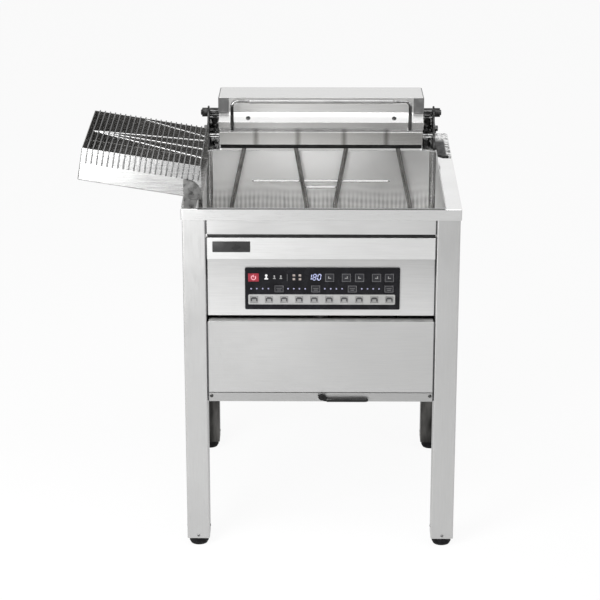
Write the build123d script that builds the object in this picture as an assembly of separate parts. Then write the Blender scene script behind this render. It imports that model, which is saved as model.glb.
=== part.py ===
from build123d import *
import os
from math import acos, cos, pi, radians, sin, tan

# Free-standing electric deep fryer, in millimetres. The origin is on the floor under the middle of the stand.
# +X is the operator's right, the front faces -Y and +Z is up.

# Rim, stand and sheet metal
RIM_WIDTH = 600.0
RIM_DEPTH = 600.0
RIM_TOP = 793.0
SHEET = 1.5
APRON_HEIGHT = 25.0
APRON_OVERHANG = 2.5
RIM_CORNER = 4.0
RIM_EDGE = 1.0
LEG_SIZE = 50.0
LEG_WALL = 1.5
LEG_CORNER = 3.0
LEG_OPEN_DEPTH = 153.0
FIT_GAP = 0.2
TUBE_SIDES = 8
CHORD_TURN = pi / 6

# Feet
FOOT_HEIGHT = 19.0
FOOT_RADIUS = 21.5
SOLE_RADIUS = 19.0
SOLE_HEIGHT = 2.0
SOLE_BEVEL = 3.0
FOOT_INSERT = 24.0
INSERT_CLEARANCE = 0.1

# Oil tank
TANK_LENGTH = 444.0
SIDE_LAND = 35.0
FRONT_LAND = 9.0
TANK_SHOULDER_DEPTH = 81.0
TANK_SLOPE_DEPTH = 143.0
TANK_STEP_BACK = 63.0
TANK_SUMP_DEPTH = 237.0
TANK_FLOOR_RISE = 24.0
SUMP_LENGTH = 60.0
MARK_HEIGHT = 5.0
MARK_PROUD = 1.0
MARK_UPPER_DEPTH = 73.0
MARK_UPPER_LENGTH = 323.0
MARK_LOWER_DEPTH = 88.0
MARK_LOWER_LENGTH = 77.0

# Front panels
PANEL_GAP = 3.0
TOP_RAIL_DEPTH = 57.0
TOP_RAIL_GAP = 8.0
FASCIA_STRIP = 48.0
FASCIA_FACE = 131.0
FASCIA_SETBACK = 7.5
FASCIA_RETURN = 25.0
FRONT_PANEL_GAP = 11.5
PANEL_RETURN = 20.0
RAIL_BOTTOM = 351.0
RAIL_HEIGHT = 20.0
RAIL_GAP = 1.5
RAIL_RETURN = 40.0
TAB_HEIGHT = 24.0
TAB_LAP = 8.0

# Display panel and keys
PANEL_X = 3.0
PANEL_WIDTH = 334.0
PANEL_HEIGHT = 95.0
PANEL_DROP = 21.0
PANEL_THICK = 3.5
PANEL_CORNER = 3.0
WINDOW_MARGIN_X = 3.0
WINDOW_MARGIN_Z = 7.0
STRIP_MARGIN = 12.5
STRIP_HEIGHT = 23.0
STRIP_THICK = 0.5
STRIP_CORNER = 3.0
KEY_CLEARANCE = 0.3
KEY_PROUD = 1.0
KEY_FLANGE = 1.5
KEY_BEVEL = 0.5
KEY_TRAVEL = 0.8
POWER_KEY_INSET = 18.5
POWER_KEY_WIDTH = 24.0
POWER_KEY_HEIGHT = 19.0
UPPER_ROW_RISE = 25.5
FUNCTION_KEY_INSETS = (151.5, 115.5, 87.0, 50.5, 23.0)
FUNCTION_KEY_WIDTH = 21.0
FUNCTION_KEY_HEIGHT = 20.0
TIMER_LEFT_INSET = 73.5
TIMER_RIGHT_INSET = 23.5
TIMER_KEY_WIDTH = 21.0
TIMER_KEY_HEIGHT = 17.0
TIMER_KEYS = 4
MENU_ROW_DROP = 24.5
MENU_LEFT_INSET = 19.5
MENU_RIGHT_INSET = 22.5
MENU_KEY_WIDTH = 17.0
MENU_KEY_HEIGHT = 15.0
MENU_KEYS = 10
SWITCH_HEIGHT = 6.0
BOARD_SETBACK = 12.0
BOARD_THICK = 1.6
BOARD_MARGIN = 8.0
POST_RADIUS = 3.0

# Heater head, hinged at the back of the rim
HINGE_SETBACK = 60.0
HINGE_HEIGHT = 68.0
HEAD_END_GAP = 32.0
HEAD_OVERHANG = 21.0
HEAD_BEHIND = 40.0
HEAD_CLEARANCE = 20.0
BASE_HEIGHT = 33.0
HEAD_LIP = 12.0
COVER_OVERLAP = 2.0
COVER_SETBACK = 5.0
LEDGE_HEIGHT = 19.0
LEDGE_RISE = 16.0
HOUSING_LEAD = 76.0
HOUSING_HEIGHT = 35.0
HOUSING_BEHIND = 60.0
HOUSING_FALL = 10.0
HOUSING_BACK = 34.0
END_CAP_WIDTH = 24.0
END_CAP_THICK = 2.0
END_CAP_CLEAR = 1.0
HANDLE_INSET = 29.0
HANDLE_RADIUS = 4.0
HANDLE_BEND = 12.0
HANDLE_HEIGHT = 71.0
GRIP_INSET = 40.0
GRIP_RADIUS = 5.6
GRIP_CLEARANCE = 0.05
BARREL_RADIUS = 10.5
BARREL_LENGTH = 25.0
PIN_RADIUS = 5.0
PIN_CLEARANCE = 0.05
HINGE_SIDE_GAP = 1.0
SLEEVE_LENGTH = 17.0
CHEEK_THICK = 4.0
CHEEK_ROUND = 15.0
WEB_GAP = 1.5
WEB_SETBACK = 14.0
WEB_HEIGHT = 52.0
BRACKET_LEAD = 72.0
BRACKET_BEHIND = 52.0
BRACKET_THICK = 3.0
BRACKET_EDGE = 2.0
TONGUE_CLEARANCE = 18.0
TONGUE_BEVEL = 12.0

# Heating elements and the screen over them
ELEMENT_RADIUS = 5.2
ELEMENT_WALL_GAP = 10.0
ELEMENT_HEIGHT = 74.0
ELEMENT_END = 22.0
RISER_TOP_X = (64.0, 170.0)
LANE_INNER_X = 33.0
LANE_PITCH = 58.0
LANE_FRONT_GAP = 28.0
LANE_REAR_GAP = 63.0
LANE_BEND = 24.0
RISER_STRAIGHT = 34.0
RISER_BEND = 20.0
SPLAY_BEND = 40.0
RISER_HOLE = 6.4
SCREEN_SIDE_GAP = 12.0
SCREEN_REAR_GAP = 27.0
SCREEN_THICK = 3.0
SCREEN_RIM = 6.0
SCREEN_PITCH = 20.0
SCREEN_WIRE = 3.0
BEARER_HEIGHT = 6.0
BEARER_INSET = 70.0

# Probes through the tank's low front wall
PROBE_RADIUS = 3.0
PROBE_X = 120.0
PROBE_HEIGHT = 44.0
PROBE_INSIDE = 80.0
PROBE_NUT_RADIUS = 9.0
PROBE_NUT_LENGTH = 10.0

# Drain
VALVE_X = 2.0
PIPE_RADIUS = 17.0
PIPE_BORE = 14.0
VALVE_RADIUS = 25.0
VALVE_HEIGHT = 52.0
VALVE_BORE = 11.0
OUTLET_RADIUS = 13.2
OUTLET_LENGTH = 18.0
STEM_RADIUS = 5.0
STEM_CLEARANCE = 0.05
STEM_BOSS_RADIUS = 11.0
STEM_BOSS_LENGTH = 40.0
STEM_SEAT = 14.0
RAIL_HOLE_CLEARANCE = 2.0
PAN_HOLE_CLEARANCE = 3.0
LEVER_CLEARANCE = 4.0
LEVER_THICK = 3.0
LEVER_HUB = 8.5
LEVER_LENGTH = 98.0
LEVER_WIDTH = 6.0
LEVER_DROP = 4.5
SLEEVE_START = 12.0
SLEEVE_END = 102.0
SLEEVE_THICK = 8.0
SLEEVE_HEIGHT = 9.0
SLEEVE_CORNER = 3.0
SLEEVE_CLEARANCE = 0.05

# Drain tray on the left of the rim
TRAY_TILT = 9.2
TRAY_LENGTH = 270.0
TRAY_DEPTH = 308.0
TRAY_HEIGHT = 72.0
TRAY_FRONT_INSET = 70.0
TRAY_REACH = 7.0
TRAY_RIM_GAP = 2.0
TRAY_LIP = 8.0
HANGER_THICK = 4.0
HANGER_OUTER = 3.0
HANGER_REST = 0.3
HANGER_SHOULDER = 5.0
INNER_LEG_DEPTH = 28.0
INNER_LEG_WIDTH = 8.5
WALL_CLEARANCE = 0.5
OUTER_LEG_INSET = 7.0
OUTER_LEG_WIDTH = 10.0
OUTER_LEG_DEPTH = 21.0
SLOT_CLEARANCE = 0.5
RACK_WIRE = 1.5
RACK_WIRES = 22
RACK_PITCH = 11.6
RACK_START = 14.0
RACK_REST = 0.1
RACK_HOOK_GAP = 0.3
RACK_HOOK = 33.0
STAY_RADIUS = 2.0
STAY_BITE = 0.3
STAY_MEET_Y = 146.0
STAY_SPREAD = 69.0
STAY_SHIFT = -8.0

# Rear panel, contactor and cable gland
VENT_LENGTH = 60.0
VENT_HEIGHT = 4.0
VENT_PITCH = 14.0
VENT_ROWS = 6
VENT_X = 110.0
VENT_DEPTH = 153.0
GLAND_INSET = 57.5
GLAND_HEIGHT = 59.0
GLAND_THREAD = 10.0
GLAND_BORE = 7.0
GLAND_NUT = 16.0
GLAND_NUT_LENGTH = 8.0
GLAND_LENGTH = 20.0
GLAND_HOLE_CLEARANCE = 0.3
CONTACTOR_X = 140.0
CONTACTOR_Y = 60.0
CONTACTOR_WIDTH = 75.0
CONTACTOR_DEPTH = 85.0
CONTACTOR_HEIGHT = 80.0
CONTACTOR_STEP = 22.0

# Places that several pieces share
DECK_BOTTOM = RIM_TOP - SHEET
LEG_OUT_X = RIM_WIDTH / 2 - APRON_OVERHANG
LEG_OUT_Y = RIM_DEPTH / 2 - APRON_OVERHANG
LEG_X = LEG_OUT_X - LEG_SIZE / 2
LEG_Y = LEG_OUT_Y - LEG_SIZE / 2
LEG_IN_X = LEG_OUT_X - LEG_SIZE
LEG_IN_Y = LEG_OUT_Y - LEG_SIZE
LEG_OPEN_FROM = RIM_TOP - LEG_OPEN_DEPTH
SIDE_FACE_X = LEG_OUT_X - SHEET
REAR_FACE_Y = LEG_OUT_Y - SHEET

# The tank
TANK_HALF = RIM_WIDTH / 2 - SIDE_LAND
TANK_FRONT = -RIM_DEPTH / 2 + FRONT_LAND
TANK_REAR = TANK_FRONT + TANK_LENGTH
TANK_LOW_FRONT = TANK_FRONT + TANK_STEP_BACK
TANK_FLOOR = RIM_TOP - TANK_SUMP_DEPTH
DRAIN_Y = TANK_LOW_FRONT + SUMP_LENGTH / 2
PROBE_Z = TANK_FLOOR + PROBE_HEIGHT

# The front
FACE_Y = -LEG_OUT_Y
PANEL_HALF = LEG_IN_X - PANEL_GAP
TOP_RAIL_BOTTOM = RIM_TOP - TOP_RAIL_DEPTH
FASCIA_TOP = TOP_RAIL_BOTTOM - TOP_RAIL_GAP
FASCIA_STEP = FASCIA_TOP - FASCIA_STRIP
FASCIA_BOTTOM = FASCIA_STEP - FASCIA_FACE
CONTROL_Y = FACE_Y + FASCIA_SETBACK
FRONT_PANEL_TOP = FASCIA_BOTTOM - FRONT_PANEL_GAP
RAIL_TOP = RAIL_BOTTOM + RAIL_HEIGHT
FRONT_PANEL_BOTTOM = RAIL_TOP + RAIL_GAP
STEM_Z = RAIL_BOTTOM + RAIL_HEIGHT / 2
PANEL_FRONT_Y = CONTROL_Y - PANEL_THICK
PANEL_LEFT = PANEL_X - PANEL_WIDTH / 2
PANEL_RIGHT = PANEL_X + PANEL_WIDTH / 2
PANEL_MIDDLE = FASCIA_STEP - PANEL_DROP - PANEL_HEIGHT / 2
UPPER_ROW = PANEL_MIDDLE + UPPER_ROW_RISE
TIMER_ROW = PANEL_MIDDLE
MENU_ROW = PANEL_MIDDLE - MENU_ROW_DROP
POWER_KEY_X = PANEL_LEFT + POWER_KEY_INSET
TIMER_KEY_X = PANEL_LEFT + TIMER_LEFT_INSET
TIMER_KEY_PITCH = (PANEL_RIGHT - TIMER_RIGHT_INSET - TIMER_KEY_X) / (TIMER_KEYS - 1)
MENU_KEY_X = PANEL_LEFT + MENU_LEFT_INSET
MENU_SPAN = PANEL_RIGHT - MENU_RIGHT_INSET - MENU_KEY_X
MENU_KEY_PITCH = MENU_SPAN / (MENU_KEYS - 1)
STRIP_WIDTH = MENU_SPAN + 2 * STRIP_MARGIN
GLAND_X = LEG_IN_X - GLAND_INSET
GLAND_Z = RAIL_BOTTOM + GLAND_HEIGHT

# The heater head
HINGE_Y = RIM_DEPTH / 2 - HINGE_SETBACK
HINGE_Z = RIM_TOP + HINGE_HEIGHT
HEAD_HALF = TANK_HALF - HEAD_END_GAP
HEAD_FRONT = TANK_REAR - HEAD_OVERHANG
HEAD_REAR = HINGE_Y + HEAD_BEHIND
HEAD_BOTTOM = RIM_TOP + HEAD_CLEARANCE
HEAD_SPLIT = HEAD_BOTTOM + BASE_HEIGHT
COVER_HALF = HEAD_HALF + COVER_OVERLAP
LEDGE_Z = HEAD_SPLIT + LEDGE_HEIGHT
HOUSING_Y = HINGE_Y - HOUSING_LEAD
LEDGE_REAR_Z = LEDGE_Z + LEDGE_RISE
HOUSING_FRONT_Z = LEDGE_REAR_Z + HOUSING_HEIGHT
HOUSING_REAR_Y = HINGE_Y + HOUSING_BEHIND
HOUSING_REAR_Z = HOUSING_FRONT_Z - HOUSING_FALL
HOUSING_BACK_Z = HOUSING_REAR_Z - HOUSING_BACK
HANDLE_Y = HEAD_FRONT - HEAD_LIP / 2
HANDLE_Z = HEAD_SPLIT + HANDLE_HEIGHT
HANDLE_HALF = HEAD_HALF - HANDLE_INSET
GRIP_HALF = HANDLE_HALF - GRIP_INSET
BARREL_END = COVER_HALF + BARREL_LENGTH
CHEEK_X = BARREL_END + HINGE_SIDE_GAP
ELEMENT_Y = TANK_REAR - ELEMENT_WALL_GAP
ELEMENT_Z = TANK_FLOOR + ELEMENT_HEIGHT
ELEMENT_TOP = HEAD_BOTTOM + ELEMENT_END
LANE_FRONT = TANK_LOW_FRONT + LANE_FRONT_GAP
LANE_REAR = TANK_REAR - LANE_REAR_GAP
SCREEN_WIDTH = 2 * (TANK_HALF - SCREEN_SIDE_GAP)
SCREEN_REAR = TANK_REAR - SCREEN_REAR_GAP

# The drain tray
TRAY_FRONT = -RIM_DEPTH / 2 + TRAY_FRONT_INSET
TRAY_REAR = TRAY_FRONT + TRAY_DEPTH
TRAY_END_X = -TANK_HALF + TRAY_REACH
HANGER_ROUND = SIDE_LAND - HANGER_OUTER + WALL_CLEARANCE + INNER_LEG_WIDTH
HANGER_LEG_X = -RIM_WIDTH / 2 + OUTER_LEG_INSET + OUTER_LEG_WIDTH / 2
HANGER_SPANS = [(TRAY_FRONT - HANGER_THICK, TRAY_FRONT), (TRAY_REAR, TRAY_REAR + HANGER_THICK)]
BRACKET_FRONT = HINGE_Y - BRACKET_LEAD
BRACKET_REAR = HINGE_Y + BRACKET_BEHIND
TONGUE_FRONT = TRAY_REAR + HANGER_THICK + TONGUE_CLEARANCE


def block(x0, x1, y0, y1, z0, z1):
    """A rectangular block between two corners."""
    return Pos((x0 + x1) / 2, (y0 + y1) / 2, (z0 + z1) / 2) * Box(x1 - x0, y1 - y0, z1 - z0)


def prism_x(points, x0, x1):
    """A side view outline of (y, z) points, drawn out along X."""
    outline = make_face(Polyline(*points, close=True))
    return extrude(Plane.YZ.offset(x0) * outline, amount=x1 - x0)


def prism_y(outline, y0, y1):
    """A front view outline in (x, z), drawn out along Y."""
    return extrude(Plane.XZ.offset(-y1) * outline, amount=y1 - y0)


def beside(points, distance):
    """The points of a folded line moved sideways, to its left for a positive distance."""
    path = [Vector(*point) for point in points]
    runs = [(b - a).normalized() for a, b in zip(path, path[1:])]
    normals = [Vector(-run.Y, run.X) * distance for run in runs]
    moved = [path[0] + normals[0]]
    for corner, before, after in zip(path[1:], normals, normals[1:]):
        half = before + after
        moved.append(corner + half * (2 * distance**2 / half.dot(half)))
    moved.append(path[-1] + normals[-1])
    return [(point.X, point.Y) for point in moved]


def sheet_outline(points, thickness):
    """The outline of a folded sheet that follows these points and is thick to their left."""
    return list(points) + beside(points, thickness)[::-1]


def rod_x(radius, x0, x1, y, z):
    """A round bar along X."""
    return extrude(Plane.YZ.offset(x0) * Pos(y, z) * Circle(radius), amount=x1 - x0)


def rod_y(radius, y0, y1, x, z):
    """A round bar along Y."""
    return prism_y(Pos(x, z) * Circle(radius), y0, y1)


def rod_z(radius, z0, z1, x, y):
    """A round bar along Z."""
    return extrude(Plane.XY.offset(z0) * Pos(x, y) * Circle(radius), amount=z1 - z0)


def bent_path(points, radii):
    """A bent tube's middle line. Each bend is a row of short chords, so that its faces stay flat."""
    corners = [Vector(*point) for point in points]
    path = [corners[0]]
    for before, corner, after, radius in zip(corners, corners[1:], corners[2:], radii):
        back = (before - corner).normalized()
        on = (after - corner).normalized()
        half = acos(back.dot(on)) / 2
        centre = corner + (back + on).normalized() * (radius / sin(half))
        start = corner + back * (radius / tan(half)) - centre
        turn = pi - 2 * half
        across = (corner + on * (radius / tan(half)) - centre - start * cos(turn)) * (1 / sin(turn))
        chords = max(1, round(turn / CHORD_TURN))
        path += [
            centre + start * cos(turn * step / chords) + across * sin(turn * step / chords)
            for step in range(chords + 1)
        ]
    path.append(corners[-1])
    return Polyline(*path)


def bent_tube(points, radii, radius):
    """An eight-sided bar bent along a path."""
    path = bent_path(points, radii)
    section = Plane(origin=path @ 0, z_dir=path % 0) * RegularPolygon(radius, TUBE_SIDES)
    return sweep(section, path=path, transition=Transition.RIGHT)


def mirrored(shape):
    """The same piece on the other side of the fryer."""
    return mirror(shape, about=Plane.YZ)


def leg(side, end):
    """One square leg. A front leg is an open angle beside the tank, so its two inner walls stop below it."""
    outside = RectangleRounded(LEG_SIZE, LEG_SIZE, LEG_CORNER)
    inside = Rectangle(LEG_SIZE - 2 * LEG_WALL, LEG_SIZE - 2 * LEG_WALL)
    centre = Pos(side * LEG_X, end * LEG_Y)
    height = DECK_BOTTOM - FOOT_HEIGHT
    tube = extrude(Plane.XY.offset(FOOT_HEIGHT) * centre * (outside - inside), amount=height)
    if end > 0:
        return tube
    cut = Box(LEG_SIZE, LEG_SIZE, DECK_BOTTOM - LEG_OPEN_FROM, align=(Align.CENTER, Align.CENTER, Align.MIN))
    return tube - Pos(side * (LEG_X - LEG_WALL), end * (LEG_Y - LEG_WALL), LEG_OPEN_FROM) * cut


def foot(side, end):
    """A plastic foot: a bevelled round pad under a square insert that fills the leg's end."""
    profile = make_face(
        Polyline(
            (0, 0),
            (SOLE_RADIUS, 0),
            (SOLE_RADIUS, SOLE_HEIGHT),
            (FOOT_RADIUS, SOLE_HEIGHT + SOLE_BEVEL),
            (FOOT_RADIUS, FOOT_HEIGHT),
            (0, FOOT_HEIGHT),
            close=True,
        )
    )
    pad = revolve(Plane.XZ * profile, Axis.Z)
    insert_size = LEG_SIZE - 2 * LEG_WALL - 2 * INSERT_CLEARANCE
    insert = extrude(Plane.XY.offset(FOOT_HEIGHT) * Rectangle(insert_size, insert_size), amount=FOOT_INSERT)
    return Pos(side * LEG_X, end * LEG_Y) * (pad + insert)


def tank_inside():
    """The inside of the tank in side view, from the front rim round to the rear rim."""
    return [
        (TANK_FRONT, RIM_TOP),
        (TANK_FRONT, RIM_TOP - TANK_SHOULDER_DEPTH),
        (TANK_LOW_FRONT, RIM_TOP - TANK_SLOPE_DEPTH),
        (TANK_LOW_FRONT, TANK_FLOOR),
        (TANK_LOW_FRONT + SUMP_LENGTH, TANK_FLOOR),
        (TANK_REAR, TANK_FLOOR + TANK_FLOOR_RISE),
        (TANK_REAR, RIM_TOP),
    ]


def level_mark(length, depth):
    """An oil level mark, pressed out of the rear wall."""
    outline = Pos(0, RIM_TOP - depth) * Rectangle(length, MARK_HEIGHT)
    return prism_y(outline, TANK_REAR - MARK_PROUD, TANK_REAR)


def oil_tank():
    """A welded tank with a stepped front, a floor that falls to the sump, a drain and two probe holes."""
    inside = tank_inside()
    outside = beside(inside, -SHEET)
    tank = prism_x(outside, -TANK_HALF - SHEET, TANK_HALF + SHEET) - prism_x(inside, -TANK_HALF, TANK_HALF)
    tank -= rod_z(PIPE_BORE, TANK_FLOOR - 2 * SHEET, TANK_FLOOR + SHEET, VALVE_X, DRAIN_Y)
    for side in (-1, 1):
        wall = TANK_LOW_FRONT
        tank -= rod_y(PROBE_RADIUS + FIT_GAP, wall - 2 * SHEET, wall + SHEET, side * PROBE_X, PROBE_Z)
    tank += level_mark(MARK_UPPER_LENGTH, MARK_UPPER_DEPTH)
    tank += level_mark(MARK_LOWER_LENGTH, MARK_LOWER_DEPTH)
    return tank


def rim_deck():
    """The rim: a deck with a turned-down apron, the tank's opening and the slots for the tray hangers."""
    apron_low = RIM_TOP - APRON_HEIGHT
    deck = block(-RIM_WIDTH / 2, RIM_WIDTH / 2, -RIM_DEPTH / 2, RIM_DEPTH / 2, apron_low, RIM_TOP)
    deck = fillet(deck.edges().filter_by(Axis.Z), RIM_CORNER)
    deck = offset(deck, -SHEET, openings=deck.faces().sort_by(Axis.Z)[0])
    deck = chamfer(deck.faces().sort_by(Axis.Z)[-1].outer_wire().edges(), RIM_EDGE)
    half = TANK_HALF + SHEET
    below = RIM_TOP - APRON_HEIGHT / 2
    deck -= block(-half, half, TANK_FRONT - SHEET, TANK_REAR + SHEET, below, RIM_TOP + SHEET)
    slot_half = OUTER_LEG_WIDTH / 2 + SLOT_CLEARANCE
    for front, back in HANGER_SPANS:
        deck -= block(
            HANGER_LEG_X - slot_half,
            HANGER_LEG_X + slot_half,
            front - SLOT_CLEARANCE,
            back + SLOT_CLEARANCE,
            DECK_BOTTOM - SHEET,
            RIM_TOP + SHEET,
        )
    return deck


def side_tabs(back_y, heights):
    """Tabs lapped behind a front panel, which reach out to the legs."""
    tabs = []
    for z in heights:
        for side in (-1, 1):
            inner = side * (PANEL_HALF - TAB_LAP)
            outer = side * (LEG_IN_X - FIT_GAP)
            x0, x1 = sorted((inner, outer))
            tabs.append(block(x0, x1, back_y, back_y + SHEET, z - TAB_HEIGHT / 2, z + TAB_HEIGHT / 2))
    return tabs


def folded_front(points):
    """A front panel folded from sheet, between the front legs."""
    return prism_x(sheet_outline(points, SHEET), -PANEL_HALF, PANEL_HALF)


def top_rail():
    """The strip under the apron, welded to the rim deck."""
    return folded_front([(FACE_Y, DECK_BOTTOM), (FACE_Y, TOP_RAIL_BOTTOM)])


def control_fascia():
    """The control fascia: an upper strip, a step back and a lower face with a window for the keys."""
    fascia = folded_front(
        [
            (FACE_Y, FASCIA_TOP),
            (FACE_Y, FASCIA_STEP),
            (CONTROL_Y, FASCIA_STEP),
            (CONTROL_Y, FASCIA_BOTTOM),
            (CONTROL_Y + FASCIA_RETURN, FASCIA_BOTTOM),
        ]
    )
    lowest = FASCIA_BOTTOM + TAB_HEIGHT
    highest = LEG_OPEN_FROM - TAB_HEIGHT
    fascia = fascia.fuse(*side_tabs(CONTROL_Y + SHEET, (lowest, highest)))
    opening = Rectangle(PANEL_WIDTH - 2 * WINDOW_MARGIN_X, PANEL_HEIGHT - 2 * WINDOW_MARGIN_Z)
    window = Pos(PANEL_X, PANEL_MIDDLE) * opening
    return fascia - prism_y(window, CONTROL_Y - SHEET, CONTROL_Y + 2 * SHEET)


def front_panel():
    """The lower front panel, with its top and bottom edges turned in."""
    panel = folded_front(
        [
            (FACE_Y + PANEL_RETURN, FRONT_PANEL_TOP),
            (FACE_Y, FRONT_PANEL_TOP),
            (FACE_Y, FRONT_PANEL_BOTTOM),
            (FACE_Y + PANEL_RETURN, FRONT_PANEL_BOTTOM),
        ]
    )
    heights = (FRONT_PANEL_BOTTOM + TAB_HEIGHT, FRONT_PANEL_TOP - TAB_HEIGHT)
    return panel.fuse(*side_tabs(FACE_Y + SHEET, heights))


def bottom_rail():
    """The rail under the front panel. It carries the bottom pan, and the valve stem passes through it."""
    rail = folded_front([(FACE_Y, RAIL_TOP), (FACE_Y, RAIL_BOTTOM), (FACE_Y + RAIL_RETURN, RAIL_BOTTOM)])
    ends = []
    for side in (-1, 1):
        x0, x1 = sorted((side * (PANEL_HALF - TAB_LAP), side * (LEG_IN_X - FIT_GAP)))
        ends.append(block(x0, x1, FACE_Y + SHEET, FACE_Y + 2 * SHEET, RAIL_BOTTOM + SHEET, RAIL_TOP))
    rail = rail.fuse(*ends)
    hole = STEM_RADIUS + RAIL_HOLE_CLEARANCE
    return rail - rod_y(hole, FACE_Y - SHEET, FACE_Y + 2 * SHEET, VALVE_X, STEM_Z)


def side_panel():
    """The right side panel, between the legs, with its bottom edge turned in."""
    points = [
        (SIDE_FACE_X - RAIL_RETURN, RAIL_BOTTOM),
        (SIDE_FACE_X, RAIL_BOTTOM),
        (SIDE_FACE_X, DECK_BOTTOM),
    ]
    outline = make_face(Polyline(*sheet_outline(points, SHEET), close=True))
    return prism_y(outline, -LEG_IN_Y + FIT_GAP, LEG_IN_Y - FIT_GAP)


def rear_panel():
    """The rear panel, with vents for the electrical space and the cable gland's hole."""
    points = [
        (REAR_FACE_Y - RAIL_RETURN, RAIL_BOTTOM),
        (REAR_FACE_Y, RAIL_BOTTOM),
        (REAR_FACE_Y, DECK_BOTTOM),
    ]
    half = LEG_IN_X - FIT_GAP
    panel = prism_x(sheet_outline(points, SHEET), -half, half)
    vents = [
        Pos(side * VENT_X, RIM_TOP - VENT_DEPTH + row * VENT_PITCH) * Rectangle(VENT_LENGTH, VENT_HEIGHT)
        for side in (-1, 1)
        for row in range(VENT_ROWS)
    ]
    panel -= [prism_y(vent, REAR_FACE_Y - 2 * SHEET, REAR_FACE_Y + SHEET) for vent in vents]
    return panel - rod_y(
        GLAND_THREAD + GLAND_HOLE_CLEARANCE, REAR_FACE_Y - 2 * SHEET, REAR_FACE_Y + SHEET, GLAND_X, GLAND_Z
    )


def bottom_pan():
    """The cabinet floor, laid on the turned-in edges of the rail and panels and notched round the legs."""
    half_x = SIDE_FACE_X - SHEET - FIT_GAP
    rear = REAR_FACE_Y - SHEET - FIT_GAP
    front = FACE_Y + 2 * SHEET + FIT_GAP
    pan = block(-half_x, half_x, front, rear, RAIL_BOTTOM + SHEET, RAIL_BOTTOM + 2 * SHEET)
    notch = LEG_SIZE + 2 * FIT_GAP
    corners = [Pos(side * LEG_X, end * LEG_Y, RAIL_BOTTOM) for side in (-1, 1) for end in (-1, 1)]
    pan -= [corner * Box(notch, notch, 6 * SHEET) for corner in corners]
    hole = Pos(VALVE_X, DRAIN_Y) * Circle(VALVE_RADIUS + PAN_HOLE_CLEARANCE)
    boss_length = STEM_BOSS_LENGTH + PAN_HOLE_CLEARANCE
    boss_width = 2 * (STEM_BOSS_RADIUS + PAN_HOLE_CLEARANCE)
    keyhole = hole + Pos(VALVE_X, DRAIN_Y - boss_length / 2) * Rectangle(boss_width, boss_length)
    return pan - extrude(Plane.XY.offset(RAIL_BOTTOM) * keyhole, amount=3 * SHEET)


def key_places():
    """Each key's name, middle and size on the panel."""
    keys = [("power_key", POWER_KEY_X, UPPER_ROW, POWER_KEY_WIDTH, POWER_KEY_HEIGHT)]
    for number, inset in enumerate(FUNCTION_KEY_INSETS, 1):
        x = PANEL_RIGHT - inset
        keys.append((f"function_key_{number}", x, UPPER_ROW, FUNCTION_KEY_WIDTH, FUNCTION_KEY_HEIGHT))
    for index in range(TIMER_KEYS):
        x = TIMER_KEY_X + index * TIMER_KEY_PITCH
        keys.append((f"timer_key_{index + 1}", x, TIMER_ROW, TIMER_KEY_WIDTH, TIMER_KEY_HEIGHT))
    for index in range(MENU_KEYS):
        x = MENU_KEY_X + index * MENU_KEY_PITCH
        keys.append((f"menu_key_{index + 1}", x, MENU_ROW, MENU_KEY_WIDTH, MENU_KEY_HEIGHT))
    return keys


def key_holes(y0, y1):
    """The key openings through the panel and the menu strip."""
    return [prism_y(Pos(x, z) * Rectangle(width, height), y0, y1) for _, x, z, width, height in key_places()]


def display_panel():
    """The glossy panel over the fascia's window, with an opening for each key."""
    outline = Pos(PANEL_X, PANEL_MIDDLE) * RectangleRounded(PANEL_WIDTH, PANEL_HEIGHT, PANEL_CORNER)
    return prism_y(outline, PANEL_FRONT_Y, CONTROL_Y) - key_holes(PANEL_FRONT_Y - 1, CONTROL_Y + 1)


def menu_strip():
    """The light strip round the menu keys."""
    middle = MENU_KEY_X + MENU_SPAN / 2
    outline = Pos(middle, MENU_ROW) * RectangleRounded(STRIP_WIDTH, STRIP_HEIGHT, STRIP_CORNER)
    strip = prism_y(outline, PANEL_FRONT_Y - STRIP_THICK, PANEL_FRONT_Y)
    return strip - key_holes(PANEL_FRONT_Y - 2 * STRIP_THICK, PANEL_FRONT_Y + STRIP_THICK)


def key(x, z, width, height):
    """A key: a bevelled cap in its opening, and a flange that keeps it behind the panel."""
    cap_front = PANEL_FRONT_Y - KEY_PROUD
    cap = block(
        x - width / 2 + KEY_CLEARANCE,
        x + width / 2 - KEY_CLEARANCE,
        cap_front,
        CONTROL_Y + KEY_CLEARANCE,
        z - height / 2 + KEY_CLEARANCE,
        z + height / 2 - KEY_CLEARANCE,
    )
    cap = chamfer(cap.faces().sort_by(Axis.Y)[0].edges(), KEY_BEVEL)
    flange_front = CONTROL_Y + KEY_CLEARANCE
    edge = Pos(x, z) * Rectangle(width + 2 * KEY_FLANGE, height + 2 * KEY_FLANGE)
    flange = prism_y(edge, flange_front, flange_front + KEY_FLANGE)
    return cap + flange


def control_board():
    """The control board on four hexagon posts, with a strip of switches behind each row of keys."""
    board_y = CONTROL_Y + SHEET + BOARD_SETBACK
    width = PANEL_WIDTH + 2 * BOARD_MARGIN
    height = PANEL_HEIGHT + 2 * BOARD_MARGIN
    board = prism_y(Pos(PANEL_X, PANEL_MIDDLE) * Rectangle(width, height), board_y, board_y + BOARD_THICK)
    switch_y = CONTROL_Y + KEY_CLEARANCE + KEY_FLANGE + KEY_TRAVEL + KEY_CLEARANCE
    switches = [
        prism_y(Pos(PANEL_X, row) * Rectangle(STRIP_WIDTH, SWITCH_HEIGHT), switch_y, board_y)
        for row in (UPPER_ROW, TIMER_ROW, MENU_ROW)
    ]
    post = RegularPolygon(POST_RADIUS, 6)
    inset = 2 * POST_RADIUS
    corners = GridLocations(width - 2 * inset, height - 2 * inset, 2, 2)
    posts = [
        prism_y(Pos(PANEL_X, PANEL_MIDDLE) * corner * post, CONTROL_Y + SHEET, board_y) for corner in corners
    ]
    return board.fuse(*switches, *posts)


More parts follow.
